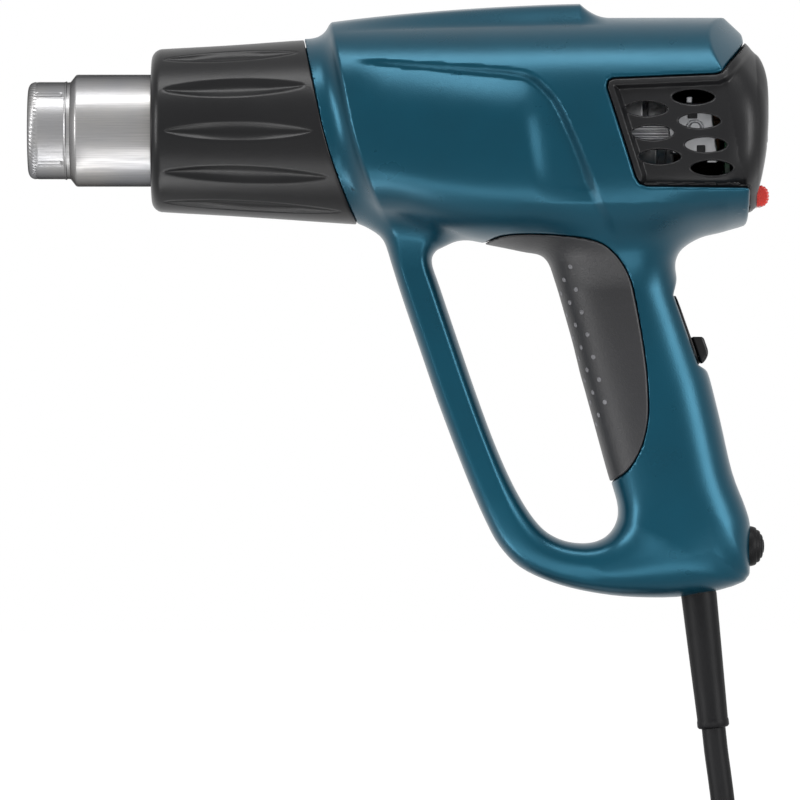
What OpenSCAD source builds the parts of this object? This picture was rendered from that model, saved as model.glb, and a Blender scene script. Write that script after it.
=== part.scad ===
// Hot air gun with a closed hand loop, a pull-off heat sleeve and a mains cord, in millimetres.
// The nozzle points along -X, +Z is up and Y = 0 is the mirror plane of the housing.
// The origin is in the middle of the hand grip.

/* [Barrel] */
// Height of the barrel axis above the middle of the grip
axis_z = 89; // [86:0.5:92]
// Place along X where the barrel axis meets the seam between sleeve and housing
seam_x = -113.6; // [-116:0.2:-111]
// Lean of that seam from upright, in degrees
seam_tilt = 11.7; // [8:0.1:14]
// Gap left open at the seam
seam_gap = 0.5; // [0.4:0.1:1]

/* [Nozzle] */
// Outer diameter of the tip that slip-on nozzles push over
tip_d = 34; // [30:0.5:36]
// Straight length of the tip
tip_len = 11; // [9:0.5:16]
// Length of the rounded rim in front of the tip
rim_len = 2.6; // [1.5:0.1:4]
// Length of the cone between tip and tube
shoulder_len = 3.2; // [2:0.2:5]
// Outer diameter of the tube
tube_d = 39.2; // [38:0.2:42]
// Length of tube in front of the sleeve
tube_out = 26.4; // [20:0.2:34]
// Sheet thickness of tip and tube
tube_wall = 1; // [0.8:0.1:1.4]

/* [Heat sleeve] */
// Outer diameter at the front, behind the rounded edge
sleeve_front_d = 56.6; // [54:0.2:58]
// Outer diameter at the seam
sleeve_rear_d = 64.2; // [62:0.2:68]
// Length from the front face to the seam, on the axis
sleeve_len = 60; // [54:0.5:66]
// Wall of the sleeve
sleeve_wall = 2.4; // [1.8:0.1:3]
// Radius of the rounded front edge
sleeve_edge = 4; // [2.5:0.5:5]
// Number of flutes round the sleeve
flute_count = 12; // [6:1:14]
// Depth of a flute at its middle
flute_depth = 1.2; // [0.6:0.1:1.5]
// Width of a flute at its middle
flute_w = 7.4; // [5:0.2:9]
// Room between sleeve and tube or collar
sleeve_gap = 0.5; // [0.3:0.1:1]
// Length of the housing collar that carries the sleeve
collar_len = 9; // [6:0.5:12]

/* [Housing] */
// Overall width of the barrel part
body_w = 84; // [80:1:90]
// Wall of the barrel part
wall = 2.8; // [2:0.1:3.4]
// Wall of the handle and the strut
loop_wall = 4; // [3.4:0.1:4.6]
// Width of the handle, across the mirror plane
handle_w = 35; // [32:0.5:40]
// Width of the front strut, across the mirror plane
strut_w = 22; // [20:0.5:26]
// Depth of the sunk side panel
panel_sink = 1.6; // [0.5:0.1:2]
// Height of the ridge along the top at its rear end
ridge_h = 5.2; // [3:0.1:6]

/* [Rear cover] */
// How far the domed rear face stands behind its edge
dome_h = 8.4; // [6:0.2:10]
// Width of the domed rear face
dome_w = 78; // [72:1:79]
// Wall of the cover
cover_wall = 2.2; // [1.6:0.1:2.6]
// How far the vent panel lies below the housing's surface
vent_sink = 4.2; // [3.8:0.1:5]
// Length of a vent
vent_len = 15; // [10:0.5:16]
// Height of a vent
vent_h = 5.2; // [3:0.2:5.6]

/* [Display] */
// Width of the display lens
lens_w = 40; // [30:1:42]
// Height of the display lens
lens_h = 20; // [14:1:22]
// Thickness of the display lens
lens_t = 1.8; // [1.2:0.1:2.2]

/* [Temperature rocker] */
// Width of the rocker
rocker_w = 20; // [14:0.5:24]
// Height of the rocker
rocker_h = 9; // [7:0.2:10]
// Depth of the rocker
rocker_t = 5.6; // [4.6:0.2:6]
// Room round the rocker in its window
rocker_gap = 0.8; // [0.7:0.1:1]
// Diameter of the rocker's pin
rocker_pin_d = 2; // [1.6:0.1:2.4]

/* [Slide switch] */
// Width of the switch plate
plate_w = 13; // [11:0.5:15]
// Thickness of the switch plate
plate_t = 1.6; // [1.2:0.1:2]
// Length of the knob along its track
knob_len = 9.5; // [8:0.5:11]
// Width of the knob
knob_w = 10.5; // [8:0.5:12]
// Height of the knob above the plate
knob_h = 5; // [3.5:0.2:6]
// Way that the knob travels
knob_travel = 13; // [8:0.5:13.5]
// Thickness of the knob's stem, across the track
stem_w = 4; // [3:0.2:5]

/* [Soft grip] */
// Thickness of the soft grip
grip_t = 2.2; // [1.6:0.1:2.4]
// Gap round the soft grip
grip_gap = 0.2; // [0.15:0.05:0.3]

/* [Rubber foot] */
// Diameter of the foot
foot_d = 14; // [11:0.5:16]
// How far the foot stands out
foot_h = 5; // [3:0.2:6]
// Diameter of the foot's stem
foot_stem_d = 6; // [4:0.5:8]

/* [Fan and motor] */
// Diameter of the fan impeller
fan_d = 57; // [50:0.5:58]
// Depth of the fan blades
fan_t = 14; // [10:0.5:15]
// Number of fan blades
fan_blades = 7; // [5:1:9]
// Room between the fan and its ring
fan_gap = 1.5; // [1:0.1:2]
// Diameter of the motor can
motor_d = 42; // [38:0.5:44]
// Length of the motor can
motor_len = 36; // [32:1:37]
// Length of the motor's end frame, which carries the brushes
frame_len = 15; // [12:0.5:15.5]
// Width of the end frame
frame_w = 50; // [46:0.5:54]
// Height of the end frame
frame_h = 20; // [16:0.5:24]
// Diameter of the motor shaft
shaft_d = 3.2; // [2.4:0.1:4]

/* [Heater] */
// Diameter of the ceramic core
core_d = 32; // [28:0.2:32.4]
// Length of the ceramic core
core_len = 74; // [60:1:76]
// Diameter of a channel in the core
channel_d = 4; // [3:0.1:4.4]
// Wall of the mica sleeve
mica_t = 1.4; // [0.8:0.1:1.6]

/* [Screws] */
// Diameter of a housing screw
screw_d = 3; // [2.5:0.1:3.4]
// Head diameter of a housing screw
screw_head_d = 6; // [5:0.1:6.6]

/* [Cord] */
// Diameter of the mains cord
cord_d = 8.4; // [7.4:0.1:8.6]
// Diameter of the strain relief where it leaves the housing
relief_d = 12.6; // [11:0.1:14]
// Diameter of the strain relief at its end
relief_end_d = 10.8; // [10:0.1:11.6]
// Length of the strain relief outside the housing
relief_len = 48; // [40:1:52]
// Turns in the coil
coil_turns = 6.5; // [4.5:1:7.5]
// Distance from turn to turn
coil_pitch = 8.9; // [8.9:0.1:9.6]
// Radius of the innermost turn
coil_inner_r = 34; // [33:0.5:40]
// Width of the tie round the coil
tie_w = 12; // [8:0.5:16]
// Thickness of the tie
tie_t = 1; // [0.6:0.1:1.4]

/* [Plug] */
// Width of the plug
plug_w = 36; // [32:0.5:38]
// Length of the plug's head
plug_len = 24; // [20:0.5:28]
// Length of the plug's neck
plug_neck = 22; // [16:0.5:26]
// Diameter of a pin
pin_d = 4.8; // [4:0.1:5]
// Length of a pin outside the plug
pin_len = 19; // [15:0.5:20]
// Distance between the pins
pin_gap = 19; // [16:0.1:20]

/* [Hidden] */
$fn = 64;

teal = [0.02, 0.30, 0.38];
black = [0.10, 0.10, 0.11];
steel = [0.72, 0.72, 0.72];
eps = 0.01;
skirt = 1;
// Facets of a round on a faceted housing
rough = 16;
// Turn that keeps the corners of such a round off the mirror plane
half_facet = 180 / rough;
// Overlap of pieces that are pressed together
bite = 0.05;
// Radial play of a turning or sliding fit
play = 0.05;

// Barrel, from the seam forwards and backwards
tube_r = tube_d / 2;
tip_r = tip_d / 2;
sleeve_front_x = seam_x - sleeve_len;
shoulder_x = sleeve_front_x - tube_out;
tip_x = shoulder_x - shoulder_len;
rim_x = tip_x - tip_len;
mouth_x = rim_x - rim_len;
flange_t = 6;
flange_x = seam_x + 3.6;
flange_lip = 2;
tube_end_x = flange_x + flange_t - flange_lip;
core_r = core_d / 2;
mica_r = core_r + mica_t;
core_x = flange_x - core_len - 2;
wire_ring_r = core_r * 0.72;
wire_out = 3.6;
mica_front_x = core_x - 6;
duct_x = flange_x + flange_t;
duct_t = 1.6;
fan_r = fan_d / 2;
ring_r = fan_r + fan_gap;
fan_x = duct_x + 56;
bracket_t = 4;
bracket_x = fan_x + fan_t + 2.4;
motor_r = motor_d / 2;
motor_x = bracket_x + bracket_t;
motor_end_x = motor_x + motor_len;
frame_end_x = motor_end_x + frame_len;
brush_d = 7;
brush_sink = 1;

// Sleeve radii
sleeve_slope = (sleeve_rear_d - sleeve_front_d) / 2 / sleeve_len;
function sleeve_r(x) = sleeve_front_d / 2 + sleeve_slope * (x - sleeve_front_x);
flute_arc = 18;
flute_end = 2;
collar_bore_r = sleeve_r(seam_x - collar_len) - sleeve_wall - sleeve_gap - 2.4;

// Barrel sections: place on the axis, top and bottom from the axis, and what the half width lacks
crease_x = seam_x + 10.1;
body_end_x = 36;
body_sections = [
    [crease_x, 37.4, -32, 4], [-95, 37.7, -33, 2.6], [-80, 38.1, -35.6, 1.4], [-60, 38.5, -38.4, 0.5],
    [-40, 38.9, -40, 0], [-20, 39.3, -40, 0], [0, 39.4, -39, 0.2], [18, 39.4, -36.4, 0.8],
    [26.6, 39.4, -35, 1.2], [31, 36, -33.8, 1.5], [34.2, 33, -32.6, 1.8], [body_end_x, 31.4, -31.2, 2.2]];
body_round = 2.5;
widest_z = -5;
ring_steps = 16;
lean_end_x = -40;
ridge_half = 17;
ridge_rise_x = [-115, -27];
ridge_drop_x = [-24, -13.5];
// Sunk side panel: its upper edge and its rear edge, as lines of [x, z from the axis]
panel_top = [[-99, 25.4], [-47, 22.4]];
panel_rear = [[-32.5, 12.5], [-17, -34.8]];
panel_soft = 5;

// Hand loop: outer edge and inner edge [x, z, x, z], share of handle width, flare into the barrel
loop_rows = [
    [-101, 63.5, -66, 55.5, 0, 9], [-97, 56.5, -70.5, 49.5, 0, 6], [-92.5, 50.5, -74.5, 46.5, 0, 2.2],
    [-89.5, 41.5, -75.6, 42.5, 0, 0.5], [-85.8, 29.8, -72.8, 34, 0, 0], [-79.8, 12.3, -66.9, 16.5, 0, 0],
    [-73.8, -5.2, -60.9, -1, 0, 0], [-67.2, -22.8, -54.6, -18.2, 0, 0], [-61.6, -36.8, -48.6, -32.2, 0, 0],
    [-57, -47.2, -42.7, -43, 0, 0], [-52.2, -56, -36.8, -50.4, 0, 0], [-44.8, -63.7, -30.8, -54, 0, 0],
    [-33.6, -69, -24.8, -55.3, 0.08, 0], [-20.3, -72.4, -19.6, -55.1, 0.2, 0],
    [-4.5, -74.2, -15.4, -53.5, 0.4, 0], [14.7, -73.7, -12.6, -50.8, 0.65, 0],
    [33, -69, -11, -47.6, 0.9, 0], [35.7, -62, -10.5, -44.5, 1, 0], [35.7, -49.7, -10.8, -41.3, 1, 0],
    [34, -42.7, -11.7, -37.8, 1, 0], [29.4, -30.5, -14.4, -28.7, 1, 0], [25.2, -12.3, -18.5, -13.7, 1, 0],
    [21.7, 1, -22, -1, 1, 0], [20.7, 3.9, -23.1, 2.5, 1, 0], [17.5, 6.6, -24, 6.6, 1, 0],
    [14.5, 16.8, -26.6, 16.8, 1, 0], [10.9, 26.6, -29.4, 26.6, 1, 0], [8.8, 31.5, -30.8, 31.5, 1, 0],
    [9.3, 36.8, -32.4, 36.8, 1, 1], [9.5, 43, -34.5, 42.7, 1, 3], [12, 47.8, -37.5, 46.5, 1, 6],
    [17.9, 52.5, -44.1, 48.5, 1, 9], [23.8, 55, -54, 53, 1, 11], [28.7, 58, -60, 57, 1, 12]];
// The rows belong to this axis height, and what lies above the joint follows the axis
drawn_axis_z = 89;
loop_joint_z = [33, 41];
function lifted(z) = z + (axis_z - drawn_axis_z) * ease(share(loop_joint_z, z));
loop_sections = [for (v = loop_rows) [v[0], lifted(v[1]), v[2], lifted(v[3]), v[4], v[5]]];
loop_round = 2.5;
loop_steps = 10;
hollow_steps = 6;
// Soft grip: loop section and the share of that section which the grip covers
grip_cover = [[19.4, 0.1], [20.3, 0.28], [21.3, 0.45], [22.3, 0.5], [23.3, 0.522], [24.3, 0.57],
    [25.3, 0.617], [26.3, 0.655], [27.3, 0.662], [28.3, 0.632], [29.3, 0.573], [30.1, 0.47],
    [30.5, 0.33], [30.8, 0.12]];
grip_steps = 6;

// Window of the vent panel in the housing's sides, as [x, z from the axis]
window = [[-12.5, 18.5], [26, 20], [33.7, 29.6], [33.7, 50], [44, 50], [44, -20.7], [-1, -20.1], [-4, -17],
    [-14, 14]];
// Domed rear face, centred on the barrel axis
dome_x = 34;
dome_half_h = 29;
dome_round = 2.5;
dome_gap = 0.3;
vent_row_slope = 0.3;
vent_pitch_z = 8.2;
// Two columns of vents: place of the uppermost, and how many
vents_front = [-1, 7.3, 3];
vents_rear = [15.8, 11.5, 4];
lens_z = axis_z + 5;
lens_x = dome_x + dome_h - 1.2;
lens_gap = 0.2;
rocker_z = axis_z - 24;
rocker_axis_x = dome_x + 4.2;
rocker_out = 4;
board_x = 26;
board_z = axis_z - 6;
board_t = 1.6;
board_w = 52;
board_h = 40;

// Switch track: its lower end, and its lean along the back of the handle
track_x = 17.2;
track_z = 7;
track_tilt = 19.4;
track_len = 25.5;
knob_rest = 1.2;
knob_gap = 0.4;
stem_len = 6;
stem_depth = 8;
plate_proud = 0.3;
switch_face = 4.4;
switch_w = 16;
switch_deep = 16;
switch_over = 2;
switch_room = 0.3;

// Housing screws, all seated at the same distance from the mirror plane
screw_spots = [[-92, axis_z + 30], [-88, axis_z - 33], [2, axis_z + 30], [14, axis_z - 31.3],
    [18, -22], [2, -62], [-41, -56]];
screw_seat_y = 4.5;
screw_head_t = 2.4;
screw_len = 12;
boss_r = screw_head_d / 2 + 2.4;
well_r = screw_head_d / 2 + 0.6;

// Rubber foot and strain relief
foot_x = 35.7;
foot_stem_len = 6;
foot_z = -56.4;
relief_x = 17.7;
relief_z = -72.4;
relief_tilt = 6.3;
relief_in = 10;
clamp_w = 20;
clamp_h = 8;
clamp_t = 6;
lead_d = 2.4;
lead_end = [6, 0, -1.6];

// Cord route: hand-chosen points from the strain relief to the coil, and from the coil to the plug
function relief_point(d) = [relief_x + d * sin(relief_tilt), 0, relief_z - d * cos(relief_tilt)];
coil_z = -190;
coil_y = 46;
coil_top_z = coil_z + coil_pitch;
coil_outer_r = coil_inner_r + coil_pitch * coil_turns / 2;
coil_in_x = 28;
coil_x = coil_in_x - coil_outer_r;
coil_end_x = coil_x - coil_outer_r;
tie_play = 0.3;
floor_z = coil_z - cord_d / 2 - tie_play - tie_t;
cord_route = concat(
    [relief_point(relief_len), relief_point(relief_len + cord_d)],
    [[25.2, 0, -138], [26.3, 0, -147], [26.9, 1.2, -156], [27.3, 4.6, -166], [27.7, 10.4, -175.4],
     [28, 18.6, -183], [28, 28, -188]],
    [[coil_in_x, coil_y - cord_d - 1, coil_z], [coil_in_x, coil_y - cord_d, coil_z]]);
plug_x = -140;
plug_y = 6;
plug_z = coil_top_z;
plug_t = 2 * (plug_z - floor_z);
lead_route = [[coil_end_x, coil_y - cord_d, coil_top_z], [coil_end_x, coil_y - cord_d - 1, coil_top_z],
    [-97.6, 30, -181.6], [-101, 20.5, -182.2], [-107.4, 13, -182.6], [-116, 8.2, -182.2],
    [-125, 6.3, -181.4], [plug_x + cord_d, plug_y, plug_z], [plug_x, plug_y, plug_z]];
cord_sides = 8;
coil_sides = 6;
loop_rings = 24;

// Curve and loft helpers
function power(v, p) = sign(v) * pow(abs(v), p);
function unit(v) = v / norm(v);
function mix(a, b, t) = a + (b - a) * t;
function ease(t) = let (c = min(max(t, 0), 1)) c * c * (3 - 2 * c);
function pick(list, i) = list[min(max(i, 0), len(list) - 1)];
function curve_at(list, u) =
    let (i = min(floor(u), len(list) - 2), t = u - i)
    let (a = pick(list, i - 1), b = list[i], c = list[i + 1], d = pick(list, i + 2))
    b + 0.5 * t * (c - a + t * (2 * a - 5 * b + 4 * c - d + t * (3 * (b - c) + d - a)));
function flat(lists) = [for (list = lists) for (item = list) item];

// Closed solid through rings that all have the same number of points, kept to a thousandth of a millimetre.
// Each end is a strip from one side of its ring to the other.
function snapped(p) = [for (c = p) round(c * 1000) / 1000];
module loft(rings) {
    count = len(rings);
    size = len(rings[0]);
    sides = [for (i = [0:count - 2]) for (k = [0:size - 1])
        let (a = i * size + k, b = i * size + (k + 1) % size)
        each [[a, b + size, b], [a, a + size, b + size]]];
    last = (count - 1) * size;
    end = concat([for (k = [0:ceil(size / 2) - 2]) [k, k + 1, size - 1 - k]],
        [for (k = [0:floor(size / 2) - 2]) [k + 1, size - 2 - k, size - 1 - k]]);
    back = [for (f = end) [last + f[0], last + f[2], last + f[1]]];
    polyhedron([for (p = flat(rings)) snapped(p)], concat(sides, end, back), convexity = 8);
}

// Barrel part of the housing
function lean(s) = -tan(seam_tilt) * (1 - ease((s - crease_x) / (lean_end_x - crease_x)));
function share(range, x) = min(max((x - range[0]) / (range[1] - range[0]), 0), 1);
function ridge(x) = ridge_h * (1 - pow(1 - share(ridge_rise_x, x), 1.8)) * pow(1 - share(ridge_drop_x, x), 2);
function ridge_share(y) = abs(y) < ridge_half ? pow(1 - pow(y / ridge_half, 2), 2) : 0;
function line_z(line, x) = mix(line[0][1], line[1][1], (x - line[0][0]) / (line[1][0] - line[0][0]));
function line_x(line, z) = mix(line[0][0], line[1][0], (z - line[0][1]) / (line[1][1] - line[0][1]));
// How deep the side is sunk at a place, z from the axis
function sunk(x, z) = panel_sink * ease((line_z(panel_top, x) - z) / panel_soft)
    * ease((line_x(panel_rear, z) - x) / panel_soft) * ease((z + 36) / 12) * ease((x - crease_x) / 10);
// Half section in the plane at s: y and z from the axis, from the bottom round to the top
function half_section(top, bottom, half, round) = [for (k = [0:ring_steps])
    let (a = -90 + 180 * k / ring_steps, c = power(sin(a), 2 / round))
    [half * power(cos(a), 2 / round), widest_z + c * (a > 0 ? top - widest_z : widest_z - bottom)]];
function body_section(v, inset) =
    half_section(v[1] - inset, v[2] + inset, body_w / 2 - v[3] - inset, body_round);
function seam_section() = [for (k = [0:ring_steps]) let (a = -90 + 180 * k / ring_steps)
    sleeve_rear_d / 2 * [cos(a), sin(a)]];
// A section set into space: leaned with the seam, with the ridge on top and the sunk panel
function placed(section, s, proud) = [for (p = section)
    let (x = s + lean(s) * p[1], z = p[1] + proud * ridge(x) * ridge_share(p[0]) * (p[1] > 0 ? 1 : 0))
    [x, max(p[0] - (p[0] > panel_sink ? sunk(x, z) : 0), 0), axis_z + z]];
flare_steps = 4;
body_fine = 2;
function body_stations() = [for (i = [0:body_fine * (len(body_sections) - 1)])
    curve_at(body_sections, i / body_fine)];
function barrel_rings() = concat(
    [for (i = [0:flare_steps - 1])
        let (t = i / flare_steps, s = mix(seam_x + seam_gap, crease_x, t), w = pow(t, 2.4))
        placed(mix(seam_section(), body_section(body_sections[0], 0), w), s, w)],
    [for (v = body_stations()) placed(body_section(v, 0), v[0], 1)]);
function barrel_hollow_rings() = concat(
    [for (v = body_sections) placed(body_section(v, wall), v[0], 0)],
    [placed(body_section(body_sections[len(body_sections) - 1], wall), body_end_x + 6, 0)]);

// Hand loop part of the housing
function loop_half(v) = mix(strut_w, handle_w, v[4]) / 2 + v[5];
// A point of a loop section at angle a from its outer edge, set in by some distance
function loop_point(v, a, inset) =
    let (mid = [v[0] + v[2], v[1] + v[3]] / 2, reach = [v[0] - v[2], v[1] - v[3]] / 2)
    let (along = mid + unit(reach) * (norm(reach) - inset) * power(cos(a), 2 / loop_round))
    [along[0], (loop_half(v) - inset) * power(sin(a), 2 / loop_round), along[1]];
function loop_rings(first, inset, steps) = [for (i = [first:len(loop_sections) - 1])
    [for (k = [0:steps]) loop_point(loop_sections[i], 180 * k / steps, inset)]];
// Half rings carried a little past the mirror plane, so that a hollow is open there
function skirted(rings) = [for (ring = rings)
    let (a = ring[0], b = ring[len(ring) - 1])
    concat([[a[0], -skirt, a[2]]], ring, [[b[0], -skirt, b[2]]])];
// Angle on a loop section that leaves a share of it on the inner side
function share_angle(f) = acos(power(2 * f - 1, loop_round / 2));
// C-shaped ring of the grip: outer face out and back, then the inner face
function grip_ring(g, out, deep, spread) =
    let (v = curve_at(loop_sections, g[0]), from = share_angle(min(max(g[1] + spread, 0.02), 0.98)))
    let (near = [for (k = [0:grip_steps]) loop_point(v, mix(from, 180, k / grip_steps), out)])
    let (far = [for (k = [0:grip_steps]) loop_point(v, mix(from, 180, k / grip_steps), deep)])
    concat(near, [for (k = [1:grip_steps]) mirrored(near[grip_steps - k])],
        [for (k = [0:grip_steps]) mirrored(far[k])], [for (k = [1:grip_steps]) far[grip_steps - k]]);
function mirrored(p) = [p[0], -p[1], p[2]];
module grip_solid(out, deep, spread) loft([for (g = grip_cover) grip_ring(g, out, deep, spread)]);

// Tubes along routes
function ring_at(p, along, side, r, n) =
    let (u = unit(cross(along, side)), w = cross(unit(along), u))
    [for (k = [0:n - 1]) p + r * (cos(360 * k / n) * u + sin(360 * k / n) * w)];
function tangent(pts, i) = unit(pick(pts, i + 1) - pick(pts, i - 1));
module tube(pts, r, n, side)
    loft([for (i = [0:len(pts) - 1]) ring_at(pts[i], tangent(pts, i), side, r, n)]);
function smooth_route(route, fine) = [for (i = [0:fine * (len(route) - 1)]) curve_at(route, i / fine)];
// Coil: spirals in and out again at a steady rate, and climbs a layer in the middle half turn
coil_angle = 360 * coil_turns;
function coil_point(a) =
    let (b = a - coil_angle / 2, r = coil_inner_r + coil_pitch * abs(b) / 360)
    [coil_x + r * cos(a), coil_y + r * sin(a), coil_z + coil_pitch * ease(b / 180 + 0.5)];
coil_count = coil_turns * loop_rings;
coil_loops = [for (i = [0:coil_count]) coil_point(360 * i / loop_rings)];
coil_points = concat([[coil_in_x, coil_y - cord_d, coil_z]], coil_loops,
    [[coil_end_x, coil_y - cord_d, coil_top_z]]);
coil_gap = min([for (i = [0:coil_count]) for (j = [i + loop_rings / 2:coil_count])
    norm(coil_loops[i] - coil_loops[j])]) - cord_d;
function length_of(pts) = len(pts) < 2 ? 0
    : [for (i = 1, sum = norm(pts[1] - pts[0]); i < len(pts);
            i = i + 1, sum = sum + (i < len(pts) ? norm(pts[i] - pts[i - 1]) : 0)) sum][len(pts) - 2];
echo(least_gap_of_the_coil_mm = coil_gap);
echo(length_of_the_cord_mm = length_of(smooth_route(cord_route, 2)) + length_of(coil_points)
    + length_of(smooth_route(lead_route, 2)));

// Places
module on_axis(x) translate([x, 0, axis_z]) rotate([0, 90, 0]) children();
module at_track() translate([track_x, 0, track_z]) rotate([0, -track_tilt, 0]) children();
module at_relief() translate([relief_x, 0, relief_z]) rotate([0, 180 - relief_tilt, 0]) children();
module across(x, z, from, to, r) translate([x, from, z]) rotate([-90, 0, 0])
    cylinder(r = r, h = to - from);
module block(from, to) translate(from) cube(to - from);
module bar(from, to, r) translate(from)
    rotate([0, acos((to - from)[2] / norm(to - from)), atan2((to - from)[1], (to - from)[0])])
        cylinder(r = r, h = norm(to - from));
module round_bar(x, r, len) on_axis(x) cylinder(r = r, h = len);
module pipe(x, r, bore, len) difference() {
    round_bar(x, r, len);
    round_bar(x - eps, bore, len + 2 * eps);
}

// Housing halves
module side_prism(points, depth)
    rotate([90, 0, 0]) translate([0, axis_z, -depth]) linear_extrude(2 * depth) polygon(points);
module screw_bosses() for (p = screw_spots) hull() {
    across(p[0], p[1], -2 * skirt, body_w, boss_r);
    across(p[0], p[1], -2 * skirt, skirt, boss_r + 0.6);
}
module seam_collar() on_axis(seam_x - collar_len)
    cylinder(r1 = sleeve_r(seam_x - collar_len) - sleeve_wall - sleeve_gap,
        r2 = sleeve_r(seam_x) - sleeve_wall - sleeve_gap, h = collar_len, $fn = 2 * rough);
module housing_shell() {
    $fn = rough;
    difference() {
        union() {
            loft(barrel_rings());
            loft(loop_rings(0, 0, loop_steps));
            intersection() {
                union() {
                    seam_collar();
                    round_bar(seam_x, sleeve_r(seam_x) - sleeve_wall - sleeve_gap, 8, $fn = 2 * rough);
                }
                block([seam_x - 40, 0, 0], [seam_x + 40, body_w, 2 * axis_z]);
            }
        }
        difference() {
            union() {
                loft(skirted(barrel_hollow_rings()));
                loft(skirted(loop_rings(1, loop_wall, hollow_steps)));
            }
            screw_bosses();
        }
        round_bar(seam_x - collar_len - 1, collar_bore_r, 24, $fn = 2 * rough);
        grip_solid(-3, grip_t + grip_gap, 0.008);
        side_prism(window, body_w);
        dome(-dome_gap, 2);
        at_track() {
            hull() for (z = [plate_w / 2, track_len - plate_w / 2]) translate([-plate_t, 0, z])
                rotate([0, 90, 0]) cylinder(d = (plate_w + 2 * play) / cos(half_facet), h = 12);
            block([-switch_face - 3, -stem_w, knob_rest], [0, stem_w, track_len - knob_rest]);
            switch_block(switch_room);
        }
        translate([foot_x - foot_stem_len, 0, foot_z]) rotate([0, 90, 0]) rotate(half_facet)
            cylinder(d = foot_stem_d - 2 * bite, h = 20);
        at_relief() translate([0, 0, -relief_in]) rotate(half_facet)
            cylinder(d = relief_d - 2 * bite, h = 40);
    }
}
module left_housing() color(teal) mirror([0, 1, 0]) difference() {
    housing_shell();
    for (p = screw_spots)
        across(p[0], p[1], -1, screw_len - screw_seat_y + 1, screw_d / 2 - bite, $fn = rough);
}
module right_housing() color(teal) difference() {
    housing_shell();
    for (p = screw_spots) {
        across(p[0], p[1], -1, body_w, screw_d / 2 + 0.2, $fn = rough);
        across(p[0], p[1], screw_seat_y, body_w, well_r, $fn = rough);
    }
}

// Screws with a cross slot, driven from the far side
module screw(x, z, seat, head_d, head_t, d, len) difference() {
    union() {
        across(x, z, seat, seat + head_t, head_d / 2);
        across(x, z, seat - len, seat, d / 2);
    }
    for (turn = [0, 90]) translate([x, seat + head_t, z]) rotate([0, turn, 0])
        cube([head_d * 0.6, head_t, head_d * 0.14], center = true);
}
module housing_screws() color(steel) for (p = screw_spots)
    screw(p[0], p[1], screw_seat_y, screw_head_d, screw_head_t, screw_d, screw_len);

// Nozzle end
module nozzle_tube() color(steel) on_axis(0) rotate_extrude() polygon(concat(
    [[tip_r - 3.4, mouth_x]],
    [for (a = [0:15:90]) [tip_r - rim_len * (1 - sin(a)), rim_x - rim_len * cos(a)]],
    [[tip_r, tip_x], [tube_r, shoulder_x], [tube_r, tube_end_x], [tube_r - tube_wall, tube_end_x],
     [tube_r - tube_wall, shoulder_x], [tip_r - tube_wall, tip_x], [tip_r - tube_wall, rim_x],
     [tip_r - 3.4, rim_x - 1]]));
module heater_core() color([0.86, 0.83, 0.76]) difference() {
    round_bar(core_x, core_r + bite, core_len);
    for (k = [0:11]) on_axis(core_x - 1) rotate(30 * k) translate([wire_ring_r, 0, 0])
        cylinder(d = channel_d, h = core_len + 2);
    for (k = [0:5]) on_axis(core_x - 1) rotate(60 * k + 30) translate([core_r * 0.36, 0, 0])
        cylinder(d = channel_d, h = core_len + 2);
    round_bar(core_x - 1, 1.2, core_len + 2);
}
module heating_wires() color([0.45, 0.38, 0.33]) {
    wire_r = channel_d / 2 + bite;
    for (k = [0:5]) on_axis(core_x - wire_out) rotate(60 * k) {
        for (turn = [-15, 15]) rotate(turn) translate([wire_ring_r, 0, 0])
            cylinder(r = wire_r, h = core_len + wire_out - 1);
        translate([wire_ring_r * cos(15), -wire_ring_r * sin(15), wire_out / 2]) rotate([-90, 0, 0])
            cylinder(r = wire_r * 0.6, h = 2 * wire_ring_r * sin(15));
    }
}
module mica_sleeve() color([0.75, 0.68, 0.52])
    pipe(mica_front_x, mica_r, core_r, flange_x + flange_t - mica_front_x);
module temperature_sensor() color(steel) {
    round_bar(core_x - 6, 1.2 + bite, core_len + 8);
    on_axis(core_x - 6) sphere(r = 2);
}
module barrel_flange() color([0.55, 0.50, 0.42]) difference() {
    round_bar(flange_x, collar_bore_r + bite, flange_t);
    round_bar(flange_x - 1, tube_r - bite, flange_t - flange_lip + 1);
    round_bar(flange_x, mica_r - bite, flange_t + 1);
}

// Sleeve with lens-shaped flutes, cut square to the leaning seam at its rear
module heat_sleeve() color(black) difference() {
    front_r = sleeve_front_d / 2;
    long_x = sleeve_front_x + sleeve_len + 30;
    on_axis(0) rotate_extrude() polygon(concat(
        [[tube_r + sleeve_gap, sleeve_front_x]],
        [for (a = [90:-15:0]) [front_r - sleeve_edge * (1 - cos(a)),
            sleeve_front_x + sleeve_edge * (1 - sin(a))]],
        [[sleeve_r(long_x), long_x], [sleeve_r(long_x) - sleeve_wall, long_x],
         [sleeve_r(sleeve_front_x + sleeve_edge) - sleeve_wall, sleeve_front_x + sleeve_edge],
         [front_r - sleeve_edge, sleeve_front_x + sleeve_wall],
         [tube_r + sleeve_gap, sleeve_front_x + sleeve_wall]]));
    translate([seam_x, 0, axis_z]) rotate([0, -seam_tilt, 0])
        block([0, -sleeve_rear_d, -2 * sleeve_rear_d], [sleeve_rear_d, sleeve_rear_d, 2 * sleeve_rear_d]);
    for (k = [0:flute_count - 1]) rotate_about_axis(360 * k / flute_count)
        flute(sleeve_front_x + sleeve_edge + flute_end, seam_at(360 * k / flute_count) - flute_end);
}
// Where the leaning seam crosses the sleeve's surface, at an angle round the axis from the top
function seam_at(a) = seam_x - tan(seam_tilt) * sleeve_rear_d / 2 * cos(a);
module rotate_about_axis(a) translate([0, 0, axis_z]) rotate([a, 0, 0]) translate([0, 0, -axis_z])
    children();
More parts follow.
